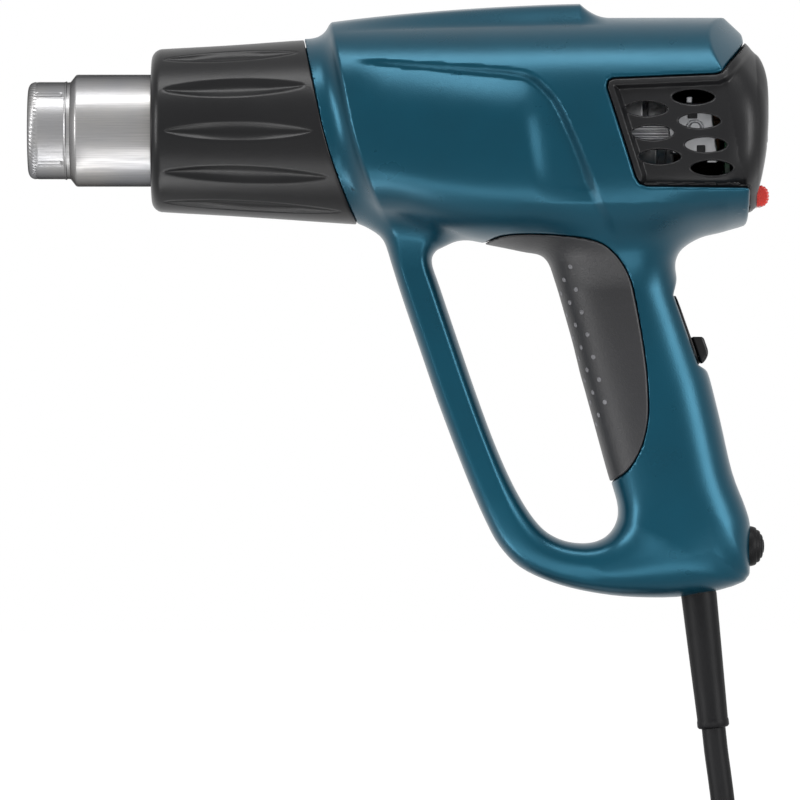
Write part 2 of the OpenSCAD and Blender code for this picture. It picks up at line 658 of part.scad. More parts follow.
// One flute: the inside of a wide ring that dips below the cone over the flute's length
module flute(from, to) {
    bead_r = pow(flute_w / 2, 2) / (2 * flute_depth) + flute_depth / 2;
    ring_r = pow((to - from) / 2, 2) / (2 * flute_depth) + flute_depth / 2 - bead_r;
    mid_x = (from + to) / 2;
    translate([mid_x, 0, axis_z + sleeve_r(mid_x) - flute_depth]) rotate([0, -atan(sleeve_slope), 0])
        translate([0, 0, ring_r + bead_r]) rotate([90, 0, 0]) rotate(270 - flute_arc / 2)
            rotate_extrude(angle = flute_arc, $fn = 256) translate([ring_r, 0]) circle(r = bead_r, $fn = 48);
}

// Fan and motor
module air_duct() color([0.2, 0.2, 0.2]) on_axis(0) rotate_extrude() polygon([
    [mica_r + 0.2, duct_x], [mica_r + 0.2 + duct_t, duct_x], [ring_r + duct_t, fan_x - 3],
    [ring_r + duct_t, bracket_x], [ring_r, bracket_x], [ring_r, fan_x - 3]]);
module fan_impeller() color([0.85, 0.85, 0.82]) difference() {
    union() {
        round_bar(fan_x, fan_r * 0.32, fan_t);
        for (k = [0:fan_blades - 1]) on_axis(fan_x + fan_t / 2) rotate(360 * k / fan_blades)
            translate([fan_r * 0.62, 0, 0]) rotate([38, 0, 0])
                cube([fan_r * 0.7, 1.6, fan_t * 1.05], center = true);
    }
    round_bar(fan_x - 1, shaft_d / 2, fan_t + 2);
}
module motor_shaft() color(steel) round_bar(fan_x - 1, shaft_d / 2, frame_end_x - fan_x + 2);
// Motor: a round can and a flat end frame with a brush holder on each side
module motor_can() color(steel) difference() {
    union() {
        round_bar(motor_x, motor_r, motor_len);
        block([motor_end_x - eps, -frame_w / 2, axis_z - frame_h / 2],
            [frame_end_x, frame_w / 2, axis_z + frame_h / 2]);
    }
    round_bar(motor_x - 1, shaft_d / 2 + play, motor_len + frame_len + 2);
    for (y = [-frame_w / 2, frame_w / 2])
        across(motor_end_x + frame_len / 2, axis_z, y - brush_sink, y + brush_sink, brush_d / 2);
}
module motor_bracket() color([0.35, 0.35, 0.36]) difference() {
    round_bar(bracket_x, ring_r + duct_t, bracket_t);
    round_bar(bracket_x - 1, shaft_d / 2 + 1, bracket_t + 2);
    for (k = [0:5]) on_axis(bracket_x - 1) rotate(60 * k) translate([(motor_r + ring_r) / 2, 0, 0])
        cylinder(r = (ring_r - motor_r) * 0.46, h = bracket_t + 2);
}

// Rear cover: domed rear face and two sunk vent panels
function dome_point(a, lat, inset) =
    let (out = power(sin(lat), 2 / dome_round))
    [dome_x + (dome_h - inset) * power(cos(lat), 2 / dome_round),
     (dome_w / 2 - inset) * out * power(cos(a), 2 / dome_round),
     axis_z + (dome_half_h - inset) * out * power(sin(a), 2 / dome_round)];
dome_steps = 28;
dome_lats = [5, 22, 36, 48, 60, 72, 82, 90];
module dome(inset, back) loft(concat(
    [for (lat = dome_lats) [for (k = [0:dome_steps - 1]) dome_point(-360 * k / dome_steps, lat, inset)]],
    [[for (k = [0:dome_steps - 1]) dome_point(-360 * k / dome_steps, 90, inset) - [back, 0, 0]]]));
// Surface of the vent panel: below the housing's side, and rising to the rim at the rear
panel_x = [-17, 34.7];
panel_z = [-22.7, 24];
panel_grid = [9, 6];
// The flare to the rim starts further back lower down
flare_x = 29;
flare_lean = 0.2;
function side_y(x, z) =
    let (s = x, u = place_in(body_sections, s), v = curve_at(body_sections, u))
    let (h = z > widest_z ? v[1] - widest_z : widest_z - v[2], r = min(abs(z - widest_z) / h, 1))
    (body_w / 2 - v[3]) * pow(1 - pow(r, body_round), 1 / body_round);
function place_in(list, x) = lookup(x, [for (i = [0:len(list) - 1]) [list[i][0], i]]);
function dome_edge_y(z) = dome_w / 2 * pow(1 - pow(abs(z) / dome_half_h, dome_round), 1 / dome_round);
function flare_from(z) = flare_x - flare_lean * z;
function panel_y(x, z) = mix(side_y(min(x, flare_from(z)), z) - vent_sink, dome_edge_y(z) - 0.4,
    share([flare_from(z), dome_x], x));
module vent_panel() {
    rows = [for (i = [0:panel_grid[0]]) let (x = mix(panel_x[0], panel_x[1], i / panel_grid[0]))
        concat(
            [for (j = [0:panel_grid[1]]) let (z = mix(panel_z[0], panel_z[1], j / panel_grid[1]))
                [x, panel_y(x, z), axis_z + z]],
            [for (j = [panel_grid[1]:-1:0]) let (z = mix(panel_z[0], panel_z[1], j / panel_grid[1]))
                [x, panel_y(x, z) - cover_wall, axis_z + z]])];
    loft(rows);
}
// An oval vent: a wide middle drawn out to narrow round ends
module vent(x, z) for (side = [-body_w, 0]) hull() {
    across(x, axis_z + z, side, side + body_w, vent_h / 2, $fn = rough);
    for (end = [-1, 1]) across(x + end * (vent_len / 2 - vent_h / 4), axis_z + z, side, side + body_w,
        vent_h / 4, $fn = rough);
}
module rear_cover() color(black) difference() {
    union() {
        dome(0, 2);
        vent_panel();
        mirror([0, 1, 0]) vent_panel();
    }
    dome(cover_wall, 5);
    for (column = [vents_front, vents_rear]) for (k = [0:column[2] - 1])
        vent(column[0] + vent_row_slope * vent_pitch_z * k, column[1] - vent_pitch_z * k);
    block([dome_x, -lens_w / 2 - lens_gap, lens_z - lens_h / 2 - lens_gap],
        [dome_x + 2 * dome_h, lens_w / 2 + lens_gap, lens_z + lens_h / 2 + lens_gap]);
    block([dome_x, -rocker_w / 2 - rocker_gap, rocker_z - rocker_h / 2 - rocker_gap],
        [dome_x + 2 * dome_h, rocker_w / 2 + rocker_gap, rocker_z + rocker_h / 2 + rocker_gap]);
}
module display_lens() color([0.6, 0.7, 0.7, 0.5])
    block([lens_x - lens_t, -lens_w / 2, lens_z - lens_h / 2], [lens_x, lens_w / 2, lens_z + lens_h / 2]);
module display_module() color([0.4, 0.5, 0.4])
    block([board_x + board_t, -lens_w / 2 + 1, lens_z - lens_h / 2 + 1],
        [lens_x - lens_t, lens_w / 2 - 1, lens_z + lens_h / 2 - 1]);
module control_board() color([0.1, 0.35, 0.2])
    block([board_x, -board_w / 2, board_z - board_h / 2],
        [board_x + board_t, board_w / 2, board_z + board_h / 2]);

// Rocker on its pin
module temperature_rocker() color([0.78, 0.12, 0.08]) difference() {
    hull() {
        for (z = [-1, 1]) translate([rocker_axis_x + rocker_out - 2, 0, rocker_z + z * (rocker_h / 2 - 2)])
            rotate([90, 0, 0]) cylinder(r = 2, h = rocker_w, center = true, $fn = 24);
        translate([rocker_axis_x + rocker_out - rocker_t, -rocker_w / 2, rocker_z - rocker_h / 4])
            cube([1, rocker_w, rocker_h / 2]);
    }
    across(rocker_axis_x, rocker_z, -rocker_w, rocker_w, rocker_pin_d / 2 + play);
}
module rocker_pin() color(steel)
    across(rocker_axis_x, rocker_z, -rocker_w / 2 - 3, rocker_w / 2 + 3, rocker_pin_d / 2);

// Soft grip
module soft_grip() color(black) grip_solid(0, grip_t, 0);

// Slide switch, in a frame with Z up the track and X out of the handle
module switch_plate() color(black) at_track() difference() {
    translate([-plate_t, 0, 0]) rotate([0, 90, 0]) linear_extrude(plate_t + plate_proud) union() {
        for (z = [plate_w / 2, track_len - plate_w / 2]) translate([-z, 0]) circle(d = plate_w);
        translate([-track_len + plate_w / 2, -plate_w / 2]) square([track_len - plate_w, plate_w]);
    }
    block([-plate_t - 1, -stem_w / 2 - knob_gap, knob_rest + (knob_len - stem_len) / 2 - knob_gap],
        [plate_t, stem_w / 2 + knob_gap, knob_rest + (knob_len + stem_len) / 2 + knob_travel + knob_gap]);
}
module switch_knob() color(black) at_track() {
    base = plate_proud + knob_gap;
    translate([0, 0, knob_rest]) hull() {
        block([base, -knob_w / 2, 0], [base + knob_h / 2, knob_w / 2, knob_len]);
        for (z = [2, knob_len - 2]) translate([base + knob_h - 2, 0, z]) rotate([90, 0, 0])
            cylinder(r = 2, h = knob_w - 2, center = true);
    }
    block([-stem_depth, -stem_w / 2, knob_rest + (knob_len - stem_len) / 2],
        [base + eps, stem_w / 2, knob_rest + (knob_len + stem_len) / 2]);
}
module switch_block(room)
    block([-switch_face - switch_deep - room, -switch_w / 2 - room, -switch_over - room],
        [-switch_face + room, switch_w / 2 + room, track_len + switch_over + room]);
module switch_body() color([0.25, 0.25, 0.27]) at_track() difference() {
    switch_block(0);
    block([-stem_depth - knob_gap, -stem_w / 2 - knob_gap, knob_rest + (knob_len - stem_len) / 2 - knob_gap],
        [0, stem_w / 2 + knob_gap, knob_rest + (knob_len + stem_len) / 2 + knob_travel + knob_gap]);
}

// Foot, with three rings round its dome
module rubber_foot() color(black) translate([foot_x, 0, foot_z]) rotate([0, 90, 0]) difference() {
    union() {
        rotate_extrude() polygon(concat([[0, 0]],
            [for (a = [0:15:90]) [foot_d / 2 * cos(a), foot_h * sin(a)]]));
        translate([0, 0, -foot_stem_len]) cylinder(d = foot_stem_d, h = foot_stem_len + eps);
    }
    for (share = [0.4, 0.65, 0.86]) translate([0, 0, foot_h * sqrt(1 - share * share)])
        rotate_extrude() translate([foot_d / 2 * share, 0]) circle(r = 0.35, $fn = 16);
}

// Cord entry
module strain_relief() color(black) at_relief() difference() {
    union() {
        translate([0, 0, -relief_in]) cylinder(d = relief_d, h = relief_in + eps);
        cylinder(d1 = relief_d, d2 = relief_end_d, h = relief_len);
    }
    translate([0, 0, -relief_in - 1]) cylinder(d = cord_d - 2, h = relief_in + relief_len - 7);
}
module cord_clamp() color([0.3, 0.3, 0.32]) at_relief() difference() {
    block([-clamp_t / 2, -clamp_w / 2, -relief_in - clamp_h], [clamp_t / 2, clamp_w / 2, -relief_in]);
    translate([0, 0, -relief_in - clamp_h - 1]) cylinder(d = 2 * lead_d + 0.4, h = clamp_h + 2);
    for (y = [-1, 1]) translate([-clamp_t, y * clamp_w * 0.36, -relief_in - clamp_h / 2]) rotate([0, 90, 0])
        cylinder(d = screw_d - 2 * bite, h = 2 * clamp_t);
}
module clamp_screws() color(steel) at_relief() for (y = [-1, 1])
    translate([0, y * clamp_w * 0.36, -relief_in - clamp_h / 2]) rotate([0, 90, 0]) {
        translate([0, 0, -clamp_t / 2 - 1]) cylinder(d = screw_d, h = clamp_t + 1);
        translate([0, 0, clamp_t / 2]) cylinder(d = screw_head_d * 0.9, h = 2);
    }
module supply_leads() color([0.3, 0.2, 0.15]) for (y = [-1, 1])
    bar(relief_point(-relief_in) + [0, y * lead_d * 0.55, 0], lead_end + [0, y * 4, 0], lead_d / 2);

// Mains cord, its coil and what is on it
module mains_cord() color(black) tube(smooth_route(cord_route, 2), cord_d / 2, cord_sides, [1, 0, 0]);
module cord_coil() color(black) tube(coil_points, cord_d / 2, coil_sides, [0, 0, 1]);
module plug_lead() color(black) tube(smooth_route(lead_route, 2), cord_d / 2, cord_sides, [0, 0, 1]);
module cord_tie() color([0.2, 0.2, 0.22]) {
    in_r = coil_inner_r - cord_d / 2 - tie_play;
    out_r = coil_outer_r + cord_d / 2 + tie_play;
    low = coil_z - cord_d / 2 - tie_play;
    high = coil_top_z + cord_d / 2 + tie_play;
    translate([coil_x, coil_y, 0]) difference() {
        block([-tie_w / 2, in_r - tie_t, low - tie_t], [tie_w / 2, out_r + tie_t, high + tie_t]);
        block([-tie_w, in_r, low], [tie_w, out_r, high]);
    }
}
module plug_body() color(black) translate([plug_x, plug_y, plug_z]) rotate([0, -90, 0]) {
    translate([0, 0, plug_neck]) linear_extrude(plug_len) {
        for (y = [-1, 1]) translate([0, y * (plug_w - plug_t) / 2]) circle(d = plug_t);
        square([plug_t, plug_w - plug_t], center = true);
    }
    cylinder(d1 = cord_d + 4, d2 = plug_t * 0.8, h = plug_neck + eps);
}
module plug_pins() color(steel) for (y = [-1, 1])
    translate([plug_x - plug_neck - plug_len, plug_y + y * pin_gap / 2, plug_z]) rotate([0, -90, 0]) {
        cylinder(d = pin_d, h = pin_len - pin_d / 2);
        translate([0, 0, pin_len - pin_d / 2]) sphere(d = pin_d);
    }

left_housing();
right_housing();
heat_sleeve();
nozzle_tube();
heater_core();
heating_wires();
mica_sleeve();
temperature_sensor();
barrel_flange();
air_duct();
fan_impeller();
motor_shaft();
motor_can();
motor_bracket();
rear_cover();
display_lens();
display_module();
control_board();
temperature_rocker();
rocker_pin();
soft_grip();
switch_plate();
switch_knob();
switch_body();
rubber_foot();
strain_relief();
cord_clamp();
clamp_screws();
supply_leads();
housing_screws();
mains_cord();
cord_coil();
plug_lead();
cord_tie();
plug_body();
plug_pins();
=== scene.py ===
"""Dresses a hot air gun: teal housing, fluted sleeve, steel nozzle, vented rear cover, soft grip and cord."""
import functools
import math

import bpy
import bmesh
import numpy as np
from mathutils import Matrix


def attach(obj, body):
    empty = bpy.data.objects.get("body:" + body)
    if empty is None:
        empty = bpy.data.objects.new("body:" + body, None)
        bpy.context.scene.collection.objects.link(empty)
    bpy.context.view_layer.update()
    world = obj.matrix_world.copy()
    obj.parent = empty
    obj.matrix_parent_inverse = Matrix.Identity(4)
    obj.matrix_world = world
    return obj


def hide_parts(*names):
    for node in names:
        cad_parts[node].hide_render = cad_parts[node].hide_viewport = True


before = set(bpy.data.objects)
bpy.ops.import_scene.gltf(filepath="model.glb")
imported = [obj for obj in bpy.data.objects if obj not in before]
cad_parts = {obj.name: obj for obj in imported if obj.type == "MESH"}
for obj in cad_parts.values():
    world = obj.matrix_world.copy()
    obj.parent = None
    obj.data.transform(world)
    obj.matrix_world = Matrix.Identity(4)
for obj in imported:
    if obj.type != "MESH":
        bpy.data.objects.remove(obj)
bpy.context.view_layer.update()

import openvdb
from mathutils import Vector

# Shapes are worked out in millimetres, and turned to metres where a mesh is made.
MM = 0.001
# Power of the oval sections, where 2 is an ellipse
ROUND = 2.5

# Camera: square on to the left side of the gun, 0.35 mm a pixel in the mirror plane
VIEW_PIXELS = 800
PIXEL_MM = 0.35
VIEW_MIDDLE = (-86.8, -5.25)
CAMERA_AWAY = 3000
SENSOR = 36

# Barrel
AXIS_Z = 89
SEAM_X = -113.6
SEAM_SLOPE = math.tan(math.radians(11.7))
SEAM_BEND = 4.8
SEAM_GAP = 0.03
CREASE_X = -103.5
LEAN_END_X = -40
BODY_HALF = 41.95
WIDEST_Z = -5
SEAM_R = 32.1
BODY_END_X = 34.3
CHAMFER_X = 26.9
CHAMFER_SLOPE = 1.03
# Place on the axis, top and bottom from the axis, and what the half width lacks
BODY_ROWS = [
    [-103.5, 37.4, -32, 4], [-95, 37.7, -33, 2.6], [-80, 38.1, -36.8, 1.4], [-60, 38.5, -39.2, 0.5],
    [-40, 38.9, -40, 0], [-20, 39.3, -40, 0], [0, 39.4, -38.2, 0.2], [18, 39.4, -35, 0.8],
    [26.4, 39.4, -34.3, 1.2],
]
CHAMFER_ROWS = [[33.8, 32.7, -33.2, 1.8], [37, 30, -31, 2.4]]
# Side panel: its upper and rear edge, as [x, z]
PANEL_EDGE = [
    [-108, 119.4], [-104.5, 116.6], [-100, 114.9], [-73, 113.2], [-50, 111.7], [-40.5, 109.6],
    [-34.6, 105], [-29.5, 98.4], [-22.5, 83], [-17, 68.6], [-12.6, 59.5], [-9, 51],
]
# Window of the vent panel, as [x, z]
WINDOW = [
    [-14.6, 104.2], [-14.1, 106.6], [-12.2, 107.6], [24, 109.2], [26, 110], [33.4, 118.6], [34.6, 121],
    [34.6, 139], [46, 139], [46, 69], [-0.4, 69.5], [-3, 70.4], [-4.6, 72.8],
]
# Frame round the front and top of that window, as a line from its lower corner
FRAME_EDGE = WINDOW[-1:] + WINDOW[:6] + [[36, 126]]

# Edge of the soft grip, as [x, z]
GRIP_EDGE = [
    [-57.4, 49.7], [-50, 52.2], [-36, 52.5], [-20.3, 50.7], [-12.6, 46.5], [-7, 38.5], [-4.2, 28],
    [-1, 8.7], [0, -5.2], [-0.4, -14], [-2.8, -22.7], [-7, -29.7], [-12.2, -33.6], [-16, -35.2],
    [-24, -30], [-38, 10], [-46, 38], [-56, 46],
]

# Hand loop: half widths, and the outer and inner edge as [x, z, x, z]
STRUT_HALF = 11
HANDLE_HALF = 17.5
# The opening of the loop lies about this line of [x, z], and the base is below it
LOOP_MIDDLE = [[-50, 45], [-22, -52]]
LOOP_ROWS = [
    [-101, 63.5, -66, 55.5], [-97, 56.5, -70.5, 49.5], [-92.5, 50.5, -74.5, 46.5],
    [-89.5, 41.5, -75.6, 42.5], [-85.8, 29.8, -72.8, 34], [-79.8, 12.3, -66.9, 16.5],
    [-73.8, -5.2, -60.9, -1], [-67.2, -22.8, -54.6, -18.2], [-61.6, -36.8, -48.6, -32.2],
    [-57, -47.2, -42.7, -43], [-52.2, -56, -36.8, -50.4], [-44.8, -63.7, -30.8, -54],
    [-33.6, -69, -24.8, -55.3], [-20.3, -72.4, -19.6, -55.1], [-4.5, -74.2, -15.4, -53.5],
    [14.7, -73.7, -12.6, -50.8], [33, -69, -11, -47.6], [35.7, -62, -10.5, -44.5],
    [35.7, -49.7, -10.8, -41.3], [34, -42.7, -11.7, -37.8], [29.4, -30.5, -14.4, -28.7],
    [25.2, -12.3, -18.5, -13.7], [21.9, 1, -22, -1], [20.6, 5, -23.4, 4], [17.2, 15, -26.1, 15],
    [13.8, 25, -28.9, 25], [11.4, 32, -30.9, 32], [10.1, 37, -32.4, 36.8], [9.6, 43, -34.5, 42.7],
    [12, 47.8, -37.5, 46.5], [17.9, 52.5, -44.1, 48.5], [23.8, 55, -54, 53], [28.7, 58, -60, 57],
]

# How far in front of the mirror plane the lines and spots that the side view shows lie
SIDE_DEPTH = 38
VENT_DEPTH = 34
GRIP_DEPTH = 16
DOT_DEPTH = 12

# Cord, the same points as the solids
CORD_D = 8.4
RELIEF_FOOT = (17.7, 0, -72.4)
RELIEF_LEAN = math.radians(6.3)
RELIEF_LEN = 48
COIL_MIDDLE = (-34.925, 46)
COIL_TURNS = 6.5
COIL_PITCH = 8.9
COIL_INNER_R = 34
COIL_Z = -190
FLOOR_Z = -195.5
PLUG_X = -140
PLUG_Y = 6
PLUG_Z = -181.1


# Camera, floor and light

# Lamps: place and size in metres, and power in watts
LAMPS = {
    "top_box": ((-0.10, -0.43, 1.10), (1.4, 0.34), 14),
    "right_box": ((0.924, -0.735, 0.10), (0.5, 0.9), 13),
    "left_box": ((-1.13, -0.60, 0.15), (0.26, 0.9), 10),
    "low_box": ((-0.06, -0.22, -0.172), (0.4, 0.08), 0.45),
    "nozzle_box": ((-0.20, -0.09, -0.172), (0.16, 0.06), 0.25),
}
LAMP_AIM = Vector((VIEW_MIDDLE[0] * MM, 0, 0.03))
ROOM_LIGHT = 0.03
# Floor: half of its side in metres, and its grey
FLOOR_HALF = 4
FLOOR_GREY = 0.25
# Glow of the floor: from so many metres away to so many, it rises from one strength to the other
FLOOR_GLOW = {"From Min": 0.4, "From Max": 1.0, "To Min": 0.8, "To Max": 1.0}


def add_object(name, data):
    """Object of a mesh, lamp or camera, put in the scene."""
    made = bpy.data.objects.new(name, data)
    bpy.context.collection.objects.link(made)
    return made


def aim_camera():
    data = bpy.data.cameras.new("side_camera")
    data.sensor_width = SENSOR
    data.lens = SENSOR * CAMERA_AWAY / (VIEW_PIXELS * PIXEL_MM)
    data.clip_end = 20
    camera = add_object("side_camera", data)
    camera.location = (VIEW_MIDDLE[0] * MM, -CAMERA_AWAY * MM, VIEW_MIDDLE[1] * MM)
    camera.rotation_euler = (math.pi / 2, 0, 0)
    bpy.context.scene.camera = camera


def add_nodes(tree, *kinds):
    return [tree.nodes.new("ShaderNode" + kind) for kind in kinds]


def join(tree, *pairs):
    for source, target in pairs:
        tree.links.new(source, target)


def seen_white(tree):
    """Share of rays that see the background: straight, mirrored or through glass."""
    rays, either, any_of_three = add_nodes(tree, "LightPath", "Math", "Math")
    for larger in (either, any_of_three):
        larger.operation = "MAXIMUM"
    join(tree, (rays.outputs["Is Camera Ray"], either.inputs[0]),
         (rays.outputs["Is Glossy Ray"], either.inputs[1]), (either.outputs[0], any_of_three.inputs[0]),
         (rays.outputs["Is Transmission Ray"], any_of_three.inputs[1]))
    return any_of_three.outputs[0]


def white_world():
    world = bpy.data.worlds.new("studio")
    world.use_nodes = True
    tree = world.node_tree
    tree.nodes.clear()
    room, white, mixed, out = add_nodes(tree, "Background", "Background", "MixShader", "OutputWorld")
    for background in (room, white):
        background.inputs["Color"].default_value = (1, 1, 1, 1)
    room.inputs["Strength"].default_value = ROOM_LIGHT
    join(tree, (seen_white(tree), mixed.inputs[0]), (room.outputs[0], mixed.inputs[1]),
         (white.outputs[0], mixed.inputs[2]), (mixed.outputs[0], out.inputs[0]))
    bpy.context.scene.world = world


def pale_floor():
    """Floor that is white from afar and, near the gun, lets its shadow show."""
    data = bpy.data.materials.new("pale_floor")
    data.use_nodes = True
    tree = data.node_tree
    tree.nodes.clear()
    paint, glow, place, away = add_nodes(tree, "BsdfDiffuse", "Emission", "TexCoord", "VectorMath")
    fade, both, mixed, out = add_nodes(tree, "MapRange", "AddShader", "MixShader", "OutputMaterial")
    paint.inputs["Color"].default_value = (FLOOR_GREY, FLOOR_GREY, FLOOR_GREY, 1)
    away.operation = "LENGTH"
    for socket, value in FLOOR_GLOW.items():
        fade.inputs[socket].default_value = value
    join(tree, (place.outputs["Object"], away.inputs[0]), (away.outputs["Value"], fade.inputs["Value"]),
         (fade.outputs["Result"], glow.inputs["Strength"]), (paint.outputs[0], both.inputs[0]),
         (glow.outputs[0], both.inputs[1]), (seen_white(tree), mixed.inputs[0]),
         (paint.outputs[0], mixed.inputs[1]), (both.outputs[0], mixed.inputs[2]),
         (mixed.outputs[0], out.inputs[0]))
    corners = [(-1, -1), (1, -1), (1, 1), (-1, 1)]
    mesh = bpy.data.meshes.new("floor")
    mesh.from_pydata([(x * FLOOR_HALF, y * FLOOR_HALF, FLOOR_Z * MM) for x, y in corners], [], [(0, 1, 2, 3)])
    mesh.materials.append(data)
    floor = add_object("floor", mesh)


def light_the_gun():
    """Soft boxes, turned to the middle of the gun."""
    bpy.context.scene.view_settings.view_transform = "Standard"
    for name, (place, size, watts) in LAMPS.items():
        data = bpy.data.lights.new(name, "AREA")
        data.shape = "RECTANGLE"
        data.size, data.size_y = size
        data.energy = watts
        lamp = add_object(name, data)
        lamp.location = place
        lamp.visible_camera = False
        lamp.rotation_euler = (LAMP_AIM - lamp.location).to_track_quat("-Z", "Y").to_euler()


# Numbers and lines

def ease(t):
    t = np.clip(t, 0, 1)
    return t * t * (3 - 2 * t)


def mix(a, b, share):
    return a + (b - a) * share


def soft_max(a, b, reach):
    blend = np.maximum(reach - np.abs(a - b), 0) / reach
    return np.maximum(a, b) + blend * blend * reach / 4


def soft_min(a, b, reach):
    return -soft_max(-a, -b, reach)


def all_of(*solids):
    """The place that several solids have in common."""
    return functools.reduce(np.maximum, solids)


def cut(solid, tool, edge=None):
    """Takes the place of a tool out of a solid, with an edge that is rounded so far."""
    return soft_max(solid, -tool, edge) if edge else np.maximum(solid, -tool)


def between(value, low, high):
    """Distance out of a span of values."""
    return np.abs(value - (low + high) / 2) - (high - low) / 2


def smooth_line(rows, steps):
    """Smooth line through rows of numbers, with so many points from row to row."""
    rows = np.array(rows, float)
    ends = np.vstack([2 * rows[0] - rows[1], rows, 2 * rows[-1] - rows[-2]])
    t = np.linspace(0, 1, steps, endpoint=False)[:, None]
    spans = []
    for a, b, c, d in zip(ends, ends[1:], ends[2:], ends[3:]):
        bend = a - 2.5 * b + 2 * c - d / 2
        twist = 1.5 * (b - c) + (d - a) / 2
        spans.append(b + t * (c - a) / 2 + t ** 2 * bend + t ** 3 * twist)
    return np.vstack(spans + [rows[-1:]])


def beside(x, z, line):
    """Distance to the left of a line of [x, z] points, below zero on its right."""
    x, z = np.broadcast_arrays(x, z)
    nearest = np.full(x.shape, 1e9)
    side = np.ones(x.shape)
    for start, end in zip(line, line[1:]):
        run = end - start
        off_x = x - start[0]
        off_z = z - start[1]
        t = np.clip((off_x * run[0] + off_z * run[1]) / (run @ run), 0, 1)
        gap = np.hypot(off_x - t * run[0], off_z - t * run[1])
        closer = gap < nearest
        nearest = np.where(closer, gap, nearest)
        side = np.where(closer, np.sign(run[0] * off_z - run[1] * off_x), side)
    return nearest * side


def closed_ring(rows):
    return np.array(rows + rows[:1], float)


def oval(a, half_a, b, half_b, power):
    """Size of a place in an oval section: 1 on its edge."""
    return ((np.abs(a) / half_a) ** power + (np.abs(b) / half_b) ** power + 1e-12) ** (1 / power)


def out_of_oval(a, half_a, b, half_b, power):
    """About the distance out of an oval."""
    return np.hypot(a, b) * (1 - 1 / oval(a, half_a, b, half_b, power))


# Body of the gun as a solid: below zero inside, and about the distance in millimetres near its surface

def as_seen(rows, depth):
    """Points as the camera sees them, set back to where they are at a depth before the mirror plane."""
    rows = np.array(rows, float)
    return VIEW_MIDDLE + (rows - VIEW_MIDDLE) * (1 - depth / CAMERA_AWAY)


BODY_LINE = np.vstack([smooth_line(BODY_ROWS, 8), CHAMFER_ROWS])
PANEL_LINE = as_seen(smooth_line(PANEL_EDGE, 6), SIDE_DEPTH)
WINDOW_LINE = as_seen(closed_ring(WINDOW), SIDE_DEPTH)
FRAME_LINE = as_seen(FRAME_EDGE, SIDE_DEPTH)
GRIP_LINE = as_seen(smooth_line(closed_ring(GRIP_EDGE), 5), GRIP_DEPTH)
LOOP_STEPS = 4
LOOP_LINE = smooth_line(LOOP_ROWS, LOOP_STEPS)
# Row of that line at the corner under the foot
FOOT_CORNER = 16 * LOOP_STEPS + 1

# Distances that depend on the side view alone are worked out once, on a grid of places in that view.
PLAN_LOW = (-126, -80)
PLAN_SIZE = (176, 220)
PLAN_STEP = 0.4


class Plan:
    """A shape of the side view, kept on the grid and looked up in between."""

    def __init__(self, shape):
        x = PLAN_LOW[0] + PLAN_STEP * np.arange(int(PLAN_SIZE[0] / PLAN_STEP))
        z = PLAN_LOW[1] + PLAN_STEP * np.arange(int(PLAN_SIZE[1] / PLAN_STEP))
        self.values = shape(x[:, None], z[None, :])

    def __call__(self, x, z):
        column = np.clip((x - PLAN_LOW[0]) / PLAN_STEP, 0, self.values.shape[0] - 1.001)
        row = np.clip((z - PLAN_LOW[1]) / PLAN_STEP, 0, self.values.shape[1] - 1.001)
        i = column.astype(int)
        k = row.astype(int)
        u = column - i
        v = row - k
        near = self.values[i, k] * (1 - v) + self.values[i, k + 1] * v
        far = self.values[i + 1, k] * (1 - v) + self.values[i + 1, k + 1] * v
        return near * (1 - u) + far * u


def loop_share(x, z):
    """0 on the strut, 1 on the handle, and in between along the base."""
    top, foot = np.array(LOOP_MIDDLE, float)
    middle = top[0] + (top[1] - z) * (foot[0] - top[0]) / (top[1] - foot[1])
    above_base = ease((z + 62) / 25)
    lead = mix(14, 8, above_base)
    width = mix(50, 16, above_base)
    return ease((x - middle + lead) / width)


def loop_flare(x, z):
    """How much wider the loop gets where it runs into the barrel."""
    strut = 9 * np.clip((z - 40) / 23.5, 0, 1.2) ** 1.7
    handle = 12 * np.clip((z - 33) / 25, 0, 1.2) ** 1.5
    return mix(strut, handle, loop_share(x, z))


def loop_outer(x, z):
    """Distance in from the loop's outer edge, soft inside the corner at the foot, where two lines cross."""
    under = np.vstack([LOOP_LINE[:FOOT_CORNER, 0:2], [[60, -60.6]]])
    behind = np.vstack([[[36.2, -110]], LOOP_LINE[FOOT_CORNER + 2:, 0:2]])
    to_under = beside(x, z, under)
    to_behind = beside(x, z, behind)
    least = np.minimum(to_under, to_behind)
    return soft_min(to_under, to_behind, 3 + 1.2 * np.clip(least, 0, 14))


def panel_depth(x, z):
    """How deep the side panel lies below the barrel's surface: most at its edge, as it swells inside."""
    inside = beside(x, z, PANEL_LINE)
    rear = ease((x + 45) / 15)
    swell = mix(0.95, 0.7, rear) * ease((-inside - 1.5) / mix(17, 30, rear))
    depth = mix(1.6, 3.2, ease((x + 100) / 50)) * (1 - swell)
    slope = mix(2.6, 4.2, ease((x + 100) / 45))
    return depth * ease(-inside / slope) * ease((z - 43) / 34) * ease((x + 104) / 14)


to_outer_edge = Plan(loop_outer)
to_inner_edge = Plan(lambda x, z: -beside(x, z, LOOP_LINE[:, 2:4]))
handle_share = Plan(loop_share)
barrel_flare = Plan(loop_flare)
panel_sink = Plan(panel_depth)
out_of_window = Plan(lambda x, z: beside(x, z, WINDOW_LINE))
in_from_frame = Plan(lambda x, z: -beside(x, z, FRAME_LINE))
out_of_grip = Plan(lambda x, z: beside(x, z, GRIP_LINE))


def seam_lean(up):
    """How far behind its place on the axis the seam lies: it leans, and bends back below the axis."""
    return SEAM_BEND * np.clip((5 - up) / 36, 0, 1.2) ** 2 - SEAM_SLOPE * up


